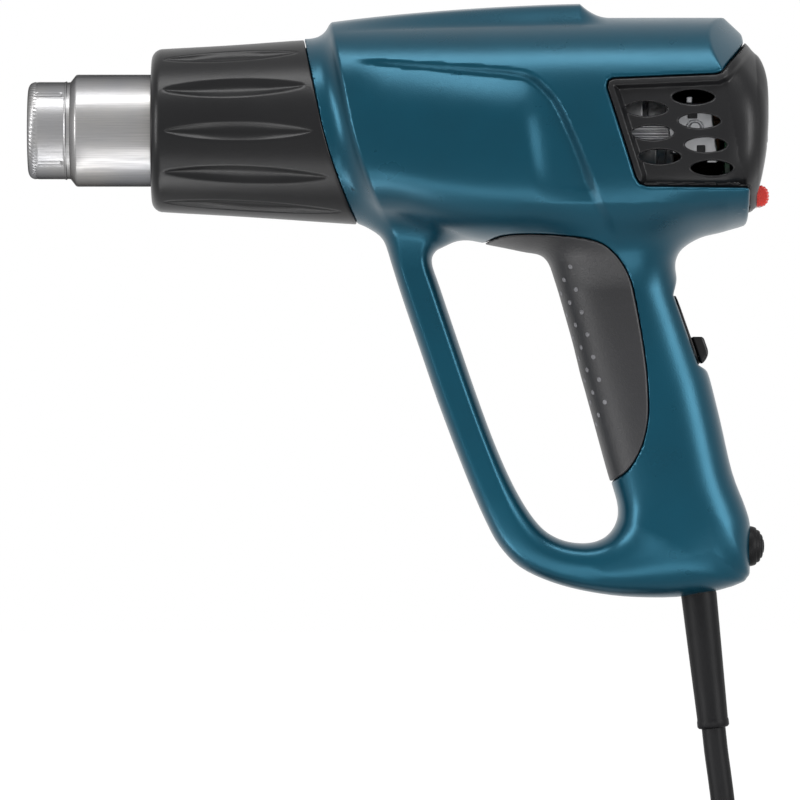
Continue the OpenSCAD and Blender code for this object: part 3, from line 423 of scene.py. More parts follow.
def station(x, up):
    """Place on the axis of the leaning section that goes through a point."""
    place = x
    for _ in range(4):
        place = x - seam_lean(up) * (1 - ease((place - CREASE_X) / (LEAN_END_X - CREASE_X)))
    return place


def top_ridge(x):
    """Height of the ridge along the top: it swells to the rear, then drops off."""
    rise = np.clip((x + 115) / 88, 0, 1)
    drop = np.clip((x + 24) / 10.5, 0, 1)
    return 5 * (1 - (1 - rise) ** 1.8) * (1 - drop) ** 2


def barrel(x, y, z):
    up = z - AXIS_Z
    wide = np.abs(y)
    s = station(x, up)
    ridge = top_ridge(x) * ease((21 - wide) / 9) * ease((up - 8) / 18)
    high = up - ridge - WIDEST_Z
    top = np.interp(s, BODY_LINE[:, 0], BODY_LINE[:, 1]) - WIDEST_Z
    bottom = WIDEST_Z - np.interp(s, BODY_LINE[:, 0], BODY_LINE[:, 2])
    half = BODY_HALF - np.interp(s, BODY_LINE[:, 0], BODY_LINE[:, 3])
    body = oval(wide, half, high, np.where(high > 0, top, bottom), ROUND)
    ring = np.hypot(wide, up) / SEAM_R
    flare = np.clip(soft_min((s - SEAM_X) / (CREASE_X - SEAM_X), 1, 0.1), 0, 1) ** 2.4
    size = mix(ring, body, flare)
    return np.hypot(wide, high) * (1 - 1 / size)


def rear_chamfer(x, y, z):
    """Slanted facet at the upper rear end, which runs forward towards the sides."""
    below_top = BODY_ROWS[-1][1] + AXIS_Z - z
    return (x - CHAMFER_X - CHAMFER_SLOPE * below_top + 0.083 * np.abs(y) ** 1.55) / 1.6


def hand_loop(x, y, z):
    to_outer = to_outer_edge(x, z)
    to_inner = to_inner_edge(x, z)
    share = handle_share(x, z)
    half = mix(STRUT_HALF, HANDLE_HALF, share) + barrel_flare(x, z)
    deep = np.maximum((to_outer + to_inner) / 2, 2)
    across = (to_inner - to_outer) / (2 * deep)
    wide = np.abs(y)
    round_side = np.hypot(wide, across * deep) * (1 - 1 / oval(wide, half, across, 1, ROUND))
    along_base = ease((-20 - z) / 40)
    level = 0.933 - 0.03 * across + along_base * (0.067 - 0.13 * across)
    flat_side = wide - half * level - 5 * ease((share - 0.1 * along_base) / 0.6)
    return np.maximum(soft_max(round_side, flat_side, 0.5), z - 63)


def gun_body(x, y, z):
    """Barrel, with its sunk side panels, and hand loop."""
    sunk = panel_sink(x, z) * ease((np.abs(y) - 12) / 8)
    return soft_min(barrel(x, y, z) + sunk, hand_loop(x, y, z), 7)


# Solids of the pieces

# Housing, and the front end and the floor of the room in its barrel
HOUSING_WALL = 2.8
HALVES_GAP = 0.04
ROOM_LOW = (-97, 62)
GRIP_DEEP = 2.2
COLLAR_X = (-122.6, -98)
COLLAR_R = 28.6
COLLAR_BORE_R = 26.2
COLLAR_BORE_END = -100

# Rear cover: vent panel, frame round it, rim and dome of the rear face, and lip behind the housing
COVER_WALL = 2.2
PANEL_DEEP = 3.6
FRAME_DEEP = 0.7
FRAME_WIDE = 2.2
RIM_X = 38
RIM_DEEP = 2
DOME_X = 41.9
LIP_X = 34.7
LIP_Z = 59.6
# Plate that closes the foot of the rear cover, and the rib behind its face
CLOSING_X = (31.8, 34.6)
CLOSING_Z = (62.2, 72.5)
RIB_X = 28.4
RIB_Z = (72.5, 83.5)
# Openings of the display and the rocker in the rear face: width, height and height of the middle
LENS = (40, 20, 94)
ROCKER = (20, 7.8, 65.9)
HINGE = (38.2, 65)
HINGE_R = 0.95
# Vents and screws, as [x, z]
VENT_HALF = (7.3, 2.55)
VENTS = [(-0.7, 96.6), (1.6, 88.2), (4, 79.8), (15.8, 100.8), (18, 92.4), (20.2, 84), (22.3, 75.9)]
SCREW_SPOTS = [(-92, 119), (-88, 56), (2, 119), (14, 57.7), (18, -22), (2, -62), (-41, -56)]
SCREW_SEAT = 4.5
SCREW_WELL_R = 3.6

# Motor and its end frame
MOTOR_X = (-27.6, 8.4)
MOTOR_R = 21
FRAME_HALF = 25
# Clips on that frame, as the low and high corner of each in the side view
CLIPS = [((13, 92.4), (16.4, 95.6)), ((16.2, 80.6), (19.2, 83.2))]

# Switch: lower end and lean of its track, length of the flat round it, width and length of its plate,
# half size and middle of its slit, and how deep its stem reaches
TRACK = (17.2, 7)
TRACK_LEAN = math.radians(19.4)
FLAT_LONG = 26
PLATE = (13, 25.5)
SLIT_HALF = (2.4, 9.9)
SLIT_MIDDLE = 12.45
STEM_DEEP = 8.6

# Place of the rest button, and the strap round the coil
FOOT = (35.7, -56.4)
STRAP_Y = (74.5, 114.4)
STRAP_TOP_Z = -175.6


def on_track(x, z):
    """Distance out of the switch track, and along it from its lower end."""
    out = (x - TRACK[0]) * math.cos(TRACK_LEAN) + (z - TRACK[1]) * math.sin(TRACK_LEAN)
    along = (z - TRACK[1]) * math.cos(TRACK_LEAN) - (x - TRACK[0]) * math.sin(TRACK_LEAN)
    return out, along


def out_of_plate(y, along):
    """Distance out of the oblong outline of the switch plate."""
    past_end = np.maximum(np.abs(along - PLATE[1] / 2) - PLATE[1] / 2 + PLATE[0] / 2, 0)
    return np.hypot(past_end, y) - PLATE[0] / 2


def out_of_slit(y, along):
    """Distance out of the slit that the stem of the switch slides in."""
    return np.maximum(np.abs(y) - SLIT_HALF[0], np.abs(along - SLIT_MIDDLE) - SLIT_HALF[1])


def behind_dome(x, y, z):
    """How far a place lies behind the domed rear face, which is fullest a little above the axis."""
    high = z - AXIS_Z - 5
    drop = np.where(high > 0, 3.1 * (np.abs(high) / 19.8) ** 3.4, np.minimum(2.6 * (high / 22.3) ** 2, 4.1))
    return (x - DOME_X + drop + 2.4 * (np.abs(y) / 38) ** 2.4) * 0.92


def housing(x, y, z):
    """Both halves in one, with the window, grip's recess, sleeve's collar and seat of the switch."""
    up = z - AXIS_Z
    axis_r = np.hypot(y, up)
    skin = soft_max(gun_body(x, y, z), rear_chamfer(x, y, z), 0.5)
    before_seam = (SEAM_X + SEAM_GAP + seam_lean(up) - x) * math.cos(math.atan(SEAM_SLOPE))
    collar = np.maximum(axis_r - COLLAR_R, between(x, *COLLAR_X))
    solid = np.minimum(soft_max(skin, before_seam, 0.4), collar)
    solid = cut(solid, np.maximum(axis_r - COLLAR_BORE_R, x - COLLAR_BORE_END))
    solid = soft_max(solid, x - BODY_END_X - 12 * ease((50 - z) / 8), 1.4)
    solid = cut(solid, all_of(skin + HOUSING_WALL, ROOM_LOW[0] - x, ROOM_LOW[1] - z))
    solid = cut(solid, out_of_window(x, z), 1.2)
    recess = np.maximum(-GRIP_DEEP - skin, out_of_grip(x, z) - 0.25)
    solid = cut(solid, recess, 0.5)
    out, along = on_track(x, z)
    flat_cut = all_of(-out, (-along - 1.1 * out) / 1.49, (along - FLAT_LONG - 1.37 * out) / 1.7, out - 6.5)
    solid = cut(solid, flat_cut, 0.8)
    plate_seat = all_of(out_of_plate(y, along) - 0.2, -1.8 - out, out - 14)
    solid = cut(solid, plate_seat, 0.4)
    stem_way = all_of(out_of_slit(y, along) - 0.5, -STEM_DEEP - out, out)
    return cut(solid, stem_way)


def left_half(x, y, z):
    return soft_max(housing(x, y, z), y + HALVES_GAP, 0.5)


def right_half(x, y, z):
    solid = soft_max(housing(x, y, z), HALVES_GAP - y, 0.5)
    for spot_x, spot_z in SCREW_SPOTS:
        well = np.maximum(np.hypot(x - spot_x, z - spot_z) - SCREW_WELL_R, SCREW_SEAT - y)
        solid = cut(solid, well, 0.6)
    return solid


def rear_cover(x, y, z):
    """Domed rear face and, on both sides, a sunk vent panel that flares out to the rim of that face."""
    wide = np.abs(y)
    past_window = out_of_window(x, z)
    sunk = FRAME_DEEP + (PANEL_DEEP - FRAME_DEEP) * ease((in_from_frame(x, z) - FRAME_WIDE) / 2.2)
    flare_x = 28.6 - 0.2 * (z - AXIS_Z)
    flare = np.clip((x - flare_x) / (RIM_X - flare_x), 0, 1)
    outer = barrel(x, y, z)
    skin = outer + mix(sunk, RIM_DEEP, flare)
    behind = behind_dome(x, y, z)
    solid = soft_max(skin, behind, mix(3, 12, ease((wide - 10) / 18)))
    solid = soft_max(solid, LIP_Z - z, 2)
    solid = soft_max(solid, np.minimum(0.4 + past_window, LIP_X - x), 0.5)
    solid = np.maximum(solid, -soft_max(skin, behind, 6) - COVER_WALL)
    under = soft_max(outer, rear_chamfer(x, y, z), 0.5) + HOUSING_WALL
    flange = np.maximum(np.abs(under + 0.75) - 0.65, np.abs(past_window - 0.6) - 1.8)
    solid = np.minimum(solid, all_of(flange, x - LIP_X, 64 - z))
    plate_edge = under + 0.4 + 3.2 * ease((z - 67) / 2.2)
    closing = all_of(between(x, *CLOSING_X), plate_edge, CLOSING_Z[0] - z, z - CLOSING_Z[1])
    rib = all_of(wide - 1, RIB_X - x, between(z, *RIB_Z), behind + 1)
    solid = np.minimum(np.minimum(solid, closing), rib)
    for vent_x, vent_z in as_seen(VENTS, VENT_DEPTH):
        hole = out_of_oval(x - vent_x, VENT_HALF[0], z - vent_z, VENT_HALF[1], 1.85)
        solid = cut(solid, np.maximum(hole, 15 - wide), 0.9)
    for (across, high, middle), gap in ((LENS, 0.25), (ROCKER, 0.8)):
        opening = np.maximum(wide - across / 2 - gap, np.abs(z - middle) - high / 2 - gap)
        solid = cut(solid, np.maximum(opening, LIP_X - 2 - x), 0.6)
    return solid


def rounded_box(x, y, z, low, high, round_r):
    """Box between two corners with rounded edges."""
    over = [between(at, a, b) + round_r for at, a, b in zip((x, y, z), low, high)]
    outside = np.sqrt(sum(np.maximum(o, 0) ** 2 for o in over))
    return outside + np.minimum(all_of(*over), 0) - round_r


def motor(x, y, z):
    """Motor behind the vents: can with slots and cooling ribs, and the end frame that carries the brushes."""
    up = z - AXIS_Z
    wide = np.abs(y)
    axis_r = np.hypot(y, up)
    can = soft_max(axis_r - MOTOR_R, between(x, *MOTOR_X), 1.5)
    for rib in range(4):
        groove = all_of(np.abs(up + 3.4 - 1.7 * rib) - 0.42, MOTOR_R - 1.1 - axis_r, -14 - x)
        can = cut(can, groove, 0.3)
    for middle, half, low, high in ((-1.5, 0.9, 3, 14), (4, 1.6, -15, -5)):
        slot = all_of(np.abs(x - middle) - half, between(up, low, high), MOTOR_R - 5 - axis_r)
        can = cut(can, slot, 0.5)
    leaned = x + 0.13 * up
    frame_solid = rounded_box(leaned, wide, up, (MOTOR_X[1] - 2, -1, -8.8), (22.4, FRAME_HALF, 8.8), 0.6)
    upper_tab = rounded_box(x, wide, up, (12.6, 21, 6), (14.8, FRAME_HALF - 0.4, 11.2), 0.4)
    lower_tab = rounded_box(x, wide, up, (19.6, 21, -12), (23.4, FRAME_HALF - 0.4, -6), 0.4)
    frame_solid = np.minimum(frame_solid, np.minimum(upper_tab, lower_tab))
    ring = np.maximum(np.abs(np.hypot(x - 15.6, up) - 2.6) - 0.35, FRAME_HALF - 0.6 - wide)
    return np.minimum(can, cut(frame_solid, ring, 0.2))


def brush_clips(x, y, z):
    """Dark clips on both sides of the motor's end frame."""
    wide = np.abs(y)
    pieces = [rounded_box(x, wide, z, (a[0], FRAME_HALF - 1, a[1]), (b[0], FRAME_HALF + 0.7, b[1]), 0.3)
              for a, b in CLIPS]
    return np.minimum(*pieces)


def soft_grip(x, y, z):
    """Skin of rubber on the inner side of the handle."""
    skin = gun_body(x, y, z)
    solid = soft_max(skin - 0.35, -(skin + GRIP_DEEP - 0.2), 0.4)
    return soft_max(solid, out_of_grip(x, z), 0.9)


def switch_plate(x, y, z):
    """Oblong plate on the back of the handle, with the slit of the switch."""
    out, along = on_track(x, z)
    solid = soft_max(out_of_plate(y, along), np.abs(out + 0.3) - 1.3, 0.5)
    return cut(solid, out_of_slit(y, along), 0.4)


def switch_knob(x, y, z):
    """Thumb piece with a slanted flat top, on a stem that reaches into the switch."""
    out, along = on_track(x, z)
    thumb = rounded_box(out, y, along, (1.1, -5.25, -0.5), (5.2, 5.25, 10.6), 1)
    thumb = soft_max(thumb, (along - 10.5 + 0.36 * out) / 1.06, 1)
    thumb = soft_max(thumb, (0.86 * out - 2.1 - along) / 1.32, 1.6)
    stem = rounded_box(out, y, along, (-8, -2, 2.95), (1.5, 2, 8.95), 0.3)
    return np.minimum(thumb, stem)


def temperature_rocker(x, y, z):
    """Rounded bar with ribs along it."""
    back = x - HINGE[0]
    up = z - ROCKER[2]
    roller = out_of_oval(back, 3.8, up, ROCKER[1] / 2, 2.4)
    turn = np.arctan2(up, back)
    ribs = 0.12 * np.cos(20 * turn) * ease((back + 1) / 2)
    solid = soft_max(roller + 0.12 - ribs, np.abs(y) - ROCKER[0] / 2, 0.9)
    bore = np.maximum(np.hypot(back, z - HINGE[1]) - 1.2, np.abs(y) - 8.6)
    return cut(soft_max(solid, -1.6 - back, 0.5), bore)


def hinge_axle(x, y, z):
    """Axle that the rocker tips on, hidden in its bore."""
    return soft_max(np.hypot(x - HINGE[0], z - HINGE[1]) - HINGE_R, np.abs(y) - 8.2, 0.3)


def display_window(x, y, z):
    """Smoked window of the display, rounded at its corners."""
    wide, high, middle = LENS
    low = (-9, -wide / 2, middle - high / 2)
    flat = rounded_box(0 * x, y, z, low, (9, wide / 2, middle + high / 2), 2.5)
    return soft_max(flat, np.abs(x - 40.3) - 0.85, 0.7)


def screw_shape(x, y, z):
    """Screw on the z axis: pan head with a cross slot, and a threaded shank below zero."""
    axis_r = np.hypot(x, y)
    head = soft_max(np.maximum(axis_r - 2.95, -z), np.hypot(axis_r, z + 3.4) - 5.75, 0.6)
    slot = all_of(np.minimum(np.abs(x), np.abs(y)) - 0.45, axis_r - 1.9, 1 - z)
    thread = 0.2 * np.sin(2 * math.pi * z / 1.2 + np.arctan2(y, x))
    shank = soft_max(axis_r - 1.25 - thread, np.abs(z + 5.8) - 6, 0.4)
    return np.minimum(cut(head, slot, 0.15), shank)


def plug_body(x, y, z):
    """Plug: a ringed neck that widens to a rounded head with grooves for the fingers."""
    way = PLUG_X - x
    out_y = y - PLUG_Y
    out_z = z - PLUG_Z
    axis_r = np.hypot(out_y, out_z)
    rings = 0.45 * np.cos(2 * math.pi * way / 3.2) * ease((17 - way) / 4)
    neck = soft_max(axis_r - mix(5.6, 11, ease(way / 24)) - rings, np.abs(way - 13) - 13, 1)
    taper = mix(0.9, 1, ease((way - 20) / 8)) - 0.05 * ease((way - 38) / 8)
    head = out_of_oval(out_y, 17.9 * taper, out_z, 14.3 * taper, 2.7)
    head = soft_max(head, np.abs(way - 34) - 12, 3)
    finger = 0.35 * (1 + np.cos(2 * math.pi * (way - 34) / 3)) * ease((7.5 - np.abs(way - 34)) / 1.5)
    head = head + finger * ease((np.abs(out_y) - 10) / 4)
    return soft_min(neck, head, 3)


def plug_pins(x, y, z):
    """Two round pins with a ring groove at the foot and rounded tips."""
    way = PLUG_X - 46 - x
    axis_r = np.hypot(np.abs(y - PLUG_Y) - 9.5, z - PLUG_Z)
    groove = 0.3 * np.exp(-((way - 9) / 0.5) ** 2)
    pin = np.hypot(axis_r, np.maximum(way - 16.6, 0)) - 2.38 + groove
    return np.maximum(pin, -1 - way)


def coil_strap(x, y, z):
    """Strap round the coil, with its loose end laid flat on top."""
    outer = rounded_box(0 * x, y, z, (-9, STRAP_Y[0], FLOOR_Z), (9, STRAP_Y[1], STRAP_TOP_Z), 5)
    strap = np.maximum(outer + 0.4, -1.1 - outer)
    from_end = np.abs(y - (STRAP_Y[0] + STRAP_Y[1]) / 2 - 4)
    loose_end = all_of(np.abs(outer + 0.3) - 0.28, from_end - 13, -179 - z)
    return soft_max(np.minimum(strap, loose_end), np.abs(x - COIL_MIDDLE[0]) - 5.95, 0.3)


# From solids, rings and lines to meshes

def show(name, mesh, body, slot, nodes, material, sharp=None):
    """Makes a mesh a piece of the gun: in place of its solids, and moving with its body."""
    mesh.materials.clear()
    mesh.materials.append(material)
    mesh.polygons.foreach_set("use_smooth", [True] * len(mesh.polygons))
    if sharp:
        mesh.set_sharp_from_angle(angle=math.radians(sharp))
    made = add_object(name, mesh)
    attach(made, body)
    if nodes:
        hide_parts(*nodes)
    return made


def quad_mesh(name, points, quads):
    mesh = bpy.data.meshes.new(name)
    mesh.vertices.add(len(points))
    mesh.vertices.foreach_set("co", (points * MM).astype(np.float32).ravel())
    mesh.loops.add(quads.size)
    mesh.loops.foreach_set("vertex_index", quads.astype(np.int32).ravel())
    mesh.polygons.add(len(quads))
    mesh.polygons.foreach_set("loop_start", np.arange(0, quads.size, 4, dtype=np.int32))
    mesh.update(calc_edges=True)
    mesh.validate()
    return mesh


def slope_of(solid, points, value):
    reach = 0.03
    slopes = []
    for axis in range(3):
        moved = points.copy()
        moved[:, axis] += reach
        slopes.append((solid(*moved.T) - value) / reach)
    return np.stack(slopes, axis=1)


def carved(name, solid, low, high, step):
    """Closed mesh of where a solid is below zero, within a box, shaded by the solid's own slope."""
    low = np.array(low, float)
    axes = [np.arange(a, b + step, step) for a, b in zip(low, high)]
    field = solid(axes[0][:, None, None], axes[1][None, :, None], axes[2][None, None, :])
    grid = openvdb.FloatGrid(3 * step)
    grid.copyFromArray(np.ascontiguousarray(field, dtype=np.float32))
    points, quads = grid.convertToQuads(0.0)
    points = points.astype(float) * step + low
    for _ in range(2):
        value = solid(*points.T)
        slope = slope_of(solid, points, value)
        steep = np.maximum((slope ** 2).sum(axis=1), 0.2)
        points -= np.clip(value / steep, -0.5 * step, 0.5 * step)[:, None] * slope
    slope = slope_of(solid, points, solid(*points.T))
    slope /= np.maximum(np.linalg.norm(slope, axis=1), 1e-6)[:, None]
    mesh = quad_mesh(name, points, quads)
    mesh.polygons.foreach_set("use_smooth", [True] * len(mesh.polygons))
    mesh.normals_split_custom_set_from_vertices(slope.astype(np.float32))
    return mesh


def show_carved(name, solid, low, high, step, *looks):
    """Carves a piece from its solid, within a box, and shows it."""
    return show(name, carved(name, solid, low, high, step), *looks)


def ring_mesh(name, rings, closed):
    """Mesh of rings of points, each joined to the next.

    Closed joins the last ring to the first, or else the ends are filled.
    """
    rings = np.array(rings, float)
    count, size = rings.shape[:2]
    number = np.arange(count * size).reshape(count, size)
    if closed:
        number = np.vstack([number, number[:1]])
    right = np.roll(number, -1, axis=1)
    quads = np.stack([number[:-1], right[:-1], right[1:], number[1:]], axis=-1).reshape(-1, 4)
    mesh = bpy.data.meshes.new(name)
    faces = quads.tolist()
    if not closed:
        faces += [list(range(size))[::-1], list(range((count - 1) * size, count * size))]
    mesh.from_pydata((rings.reshape(-1, 3) * MM).tolist(), [], faces)
    return outward(mesh)


def outward(mesh):
    work = bmesh.new()
    work.from_mesh(mesh)
    bmesh.ops.remove_doubles(work, verts=work.verts, dist=1e-7)
    bmesh.ops.recalc_face_normals(work, faces=work.faces)
    work.to_mesh(mesh)
    work.free()
    return mesh


def turned(name, profile, foot, along, steps):
    """Mesh turned about a line from foot: profile is a closed row of [way along the line, radius]."""
    along = np.array(along, float) / np.linalg.norm(along)
    side = np.cross(along, (0, 1, 0))
    side /= np.linalg.norm(side)
    other = np.cross(along, side)
    turn = np.linspace(0, 2 * math.pi, steps, endpoint=False)
    around = np.cos(turn)[:, None] * side + np.sin(turn)[:, None] * other
    rings = [np.array(foot) + way * along + max(radius, 0) * around for way, radius in profile]
    return ring_mesh(name, rings, True)


def arc(middle, radius, start, end, steps):
    """Points [way, radius] round a corner, angles in degrees."""
    return [(middle[0] + radius * math.cos(math.radians(a)), middle[1] + radius * math.sin(math.radians(a)))
            for a in np.linspace(start, end, steps)]


def tube_rings(path, radii, sides):
    """Rings round a line of points, carried along without twist."""
    path = np.array(path, float)
    way = np.gradient(path, axis=0)
    way /= np.linalg.norm(way, axis=1)[:, None]
    side = np.cross(way[0], (0, 0, 1) if abs(way[0][2]) < 0.8 else (0, 1, 0))
    turn = np.linspace(0, 2 * math.pi, sides, endpoint=False)
    rings = []
    for point, ahead, radius in zip(path, way, radii):
        side = side - ahead * (side @ ahead)
        side /= np.linalg.norm(side)
        up = np.cross(ahead, side)
        rings.append(point + radius * (np.cos(turn)[:, None] * side + np.sin(turn)[:, None] * up))
    return rings


def axis_ring(turn, x, radius):
    """Ring of points round the barrel's axis."""
    return np.stack([x + 0 * turn, -radius * np.cos(turn), AXIS_Z + radius * np.sin(turn)], axis=1)


SPIN_SEED = 7


def set_on_spots(name, spots, facing, shape, size, turn_spread, material):
    """Plain mesh of one shape set on many spots by geometry nodes, each turned to face its own way."""
    tree = bpy.data.node_groups.new("set_on_spots", "GeometryNodeTree")
    sockets = (("Spots", "Geometry"), ("Shape", "Object"), ("Size", "Float"), ("Turn Spread", "Float"),
               ("Seed", "Int"), ("Finish", "Material"))
    for label, kind in sockets:
        tree.interface.new_socket(label, in_out="INPUT", socket_type="NodeSocket" + kind)
    tree.interface.new_socket("Pieces", in_out="OUTPUT", socket_type="NodeSocketGeometry")

    def node(kind, **settings):
        made = tree.nodes.new(kind)
        for key, value in settings.items():
            setattr(made, key, value)
        return made

    given = node("NodeGroupInput").outputs
    way = node("GeometryNodeInputNamedAttribute", data_type="FLOAT_VECTOR")
    way.inputs["Name"].default_value = "facing"
    face = node("FunctionNodeAlignRotationToVector", axis="Z")
    pick = node("GeometryNodeObjectInfo")
    place = node("GeometryNodeInstanceOnPoints")
    chance = node("FunctionNodeRandomValue", data_type="FLOAT")
    spin = node("ShaderNodeCombineXYZ")
    turn = node("GeometryNodeRotateInstances")
    real = node("GeometryNodeRealizeInstances")
    paint = node("GeometryNodeSetMaterial")
    out = node("NodeGroupOutput")
    number = [s for s in chance.inputs if s.type == "VALUE" and s.name == "Max"][0]
    pairs = (
        (way.outputs["Attribute"], face.inputs["Vector"]), (given["Shape"], pick.inputs["Object"]),
        (given["Spots"], place.inputs["Points"]), (pick.outputs["Geometry"], place.inputs["Instance"]),
        (face.outputs["Rotation"], place.inputs["Rotation"]), (given["Size"], place.inputs["Scale"]),
        (given["Turn Spread"], number), (given["Seed"], chance.inputs["Seed"]),
        ([s for s in chance.outputs if s.type == "VALUE"][0], spin.inputs["Z"]),
        (place.outputs["Instances"], turn.inputs["Instances"]),
        (spin.outputs["Vector"], turn.inputs["Rotation"]),
        (turn.outputs["Instances"], real.inputs["Geometry"]),
        (real.outputs["Geometry"], paint.inputs["Geometry"]),
        (given["Finish"], paint.inputs["Material"]), (paint.outputs["Geometry"], out.inputs[0]),
    )
    join(tree, *pairs)

    points = bpy.data.meshes.new(name + "_spots")
    points.from_pydata((np.array(spots) * MM).tolist(), [], [])
    ways = points.attributes.new("facing", "FLOAT_VECTOR", "POINT")
    ways.data.foreach_set("vector", np.array(facing, float).ravel())
    host = add_object(name + "_spots", points)
    model = add_object(name + "_shape", shape)
    modifier = host.modifiers.new("set_on_spots", "NODES")
    modifier.node_group = tree
    values = {"Shape": model, "Size": size, "Turn Spread": turn_spread, "Seed": SPIN_SEED, "Finish": material}
    for item in tree.interface.items_tree:
        if item.name in values:
            modifier[item.identifier] = values[item.name]
    graph = bpy.context.evaluated_depsgraph_get()
    mesh = bpy.data.meshes.new_from_object(host.evaluated_get(graph), depsgraph=graph)
    mesh.name = name
    host.modifiers.clear()
    for made in (host, model):
        bpy.data.objects.remove(made)
    return mesh


# Finishes. All patterns read Object coordinates, in metres.

class Finish:
    """A shader with the few pattern nodes that the gun's finishes share."""

    def __init__(self, name, colour, roughness, metallic=0, specular=0.5):
        self.name = name
        self.material = bpy.data.materials.new(name)
        self.material.use_nodes = True
        self.tree = self.material.node_tree
        self.shader = self.tree.nodes["Principled BSDF"]
        self.set("Base Color", (*colour, 1))
        self.set("Roughness", roughness)
        self.set("Metallic", metallic)
        self.set("Specular IOR Level", specular)
        self.place = self.node("ShaderNodeTexCoord").outputs["Object"]
        self.height = None

    def node(self, kind, **settings):
        made = self.tree.nodes.new(kind)
        for key, value in settings.items():
            setattr(made, key, value)
        return made

    def set(self, socket, value):
        self.shader.inputs[socket].default_value = value

    def stretched(self, scale):
        mapping = self.node("ShaderNodeMapping")
        mapping.inputs["Scale"].default_value = scale
        self.tree.links.new(self.place, mapping.inputs["Vector"])
        return mapping.outputs["Vector"]

    def noise(self, scale, detail=2, place=None):
        made = self.node("ShaderNodeTexNoise")
        made.inputs["Scale"].default_value = scale
        made.inputs["Detail"].default_value = detail
        self.tree.links.new(place or self.place, made.inputs["Vector"])
        return made.outputs["Fac"]

    def ranged(self, value, low, high, new_low, new_high):
        made = self.node("ShaderNodeMapRange")
        sockets = ("From Min", "From Max", "To Min", "To Max")
        for socket, number in zip(sockets, (low, high, new_low, new_high)):
            made.inputs[socket].default_value = number
        self.tree.links.new(value, made.inputs["Value"])
        return made.outputs["Result"]

    def two_tone(self, share, first, second):
        """Colour between two colours, or between a colour made before and a second one."""
        made = self.node("ShaderNodeMix", data_type="RGBA")
        self.tree.links.new(share, made.inputs["Factor"])
        for socket, colour in (("A", first), ("B", second)):
            sockets = [s for s in made.inputs if s.name == socket and s.type == "RGBA"]
            if isinstance(colour, tuple):
                sockets[0].default_value = (*colour, 1)
            else:
                self.tree.links.new(colour, sockets[0])
        return [s for s in made.outputs if s.type == "RGBA"][0]

    def times(self, a, b):
        made = self.node("ShaderNodeMath", operation="MULTIPLY")
        self.tree.links.new(a, made.inputs[0])
        self.tree.links.new(b, made.inputs[1])
        return made.outputs[0]

    def worn_edges(self, low, high, most):
        """Share of wear: nothing on flats and hollows, most on sharp outer edges."""
        sharp = self.node("ShaderNodeNewGeometry").outputs["Pointiness"]
        patches = self.ranged(self.noise(60, 4), 0.4, 0.6, 0.3, 1)
        return self.times(self.ranged(sharp, low, high, 0, most), patches)

    def coloured(self, colour):
        self.tree.links.new(colour, self.shader.inputs["Base Color"])

    def mottled(self, pattern, first, second, low=0.35, high=0.65):
        """Colour that goes from one tone to the other with a pattern."""
        self.coloured(self.two_tone(self.ranged(pattern, low, high, 0, 1), first, second))

    def rough(self, pattern, least, most, low=0.3, high=0.7):
        """Roughness that goes from the least to the most with a pattern."""
        self.tree.links.new(self.ranged(pattern, low, high, least, most), self.shader.inputs["Roughness"])

    def bumped(self, height, distance, strength=1.0):
        made = self.node("ShaderNodeBump")
        made.inputs["Distance"].default_value = distance
        made.inputs["Strength"].default_value = strength
        self.tree.links.new(height, made.inputs["Height"])
        if self.height:
            self.tree.links.new(self.height, made.inputs["Normal"])
        self.height = made.outputs["Normal"]
        self.tree.links.new(self.height, self.shader.inputs["Normal"])


def moulded(name, colour, roughness, specular=0.5, grain=0.00003, wear=0.15):
    """Moulded plastic: even colour with a faint cloud, a fine spark grain, and edges rubbed paler."""
    finish = Finish(name, colour, roughness, specular=specular)
    dark = tuple(0.88 * c for c in colour)
    light = tuple(min(1.12 * c, 1) for c in colour)
    rubbed = tuple(min(1.5 * c + 0.01, 1) for c in colour)
    cloud = finish.two_tone(finish.ranged(finish.noise(35, 3), 0.3, 0.7, 0, 1), dark, light)
    finish.coloured(finish.two_tone(finish.worn_edges(0.53, 0.62, wear), cloud, rubbed))
    finish.rough(finish.noise(90, 4), roughness - 0.02, roughness + 0.02)
    finish.bumped(finish.noise(2600, 2), grain)
    return finish


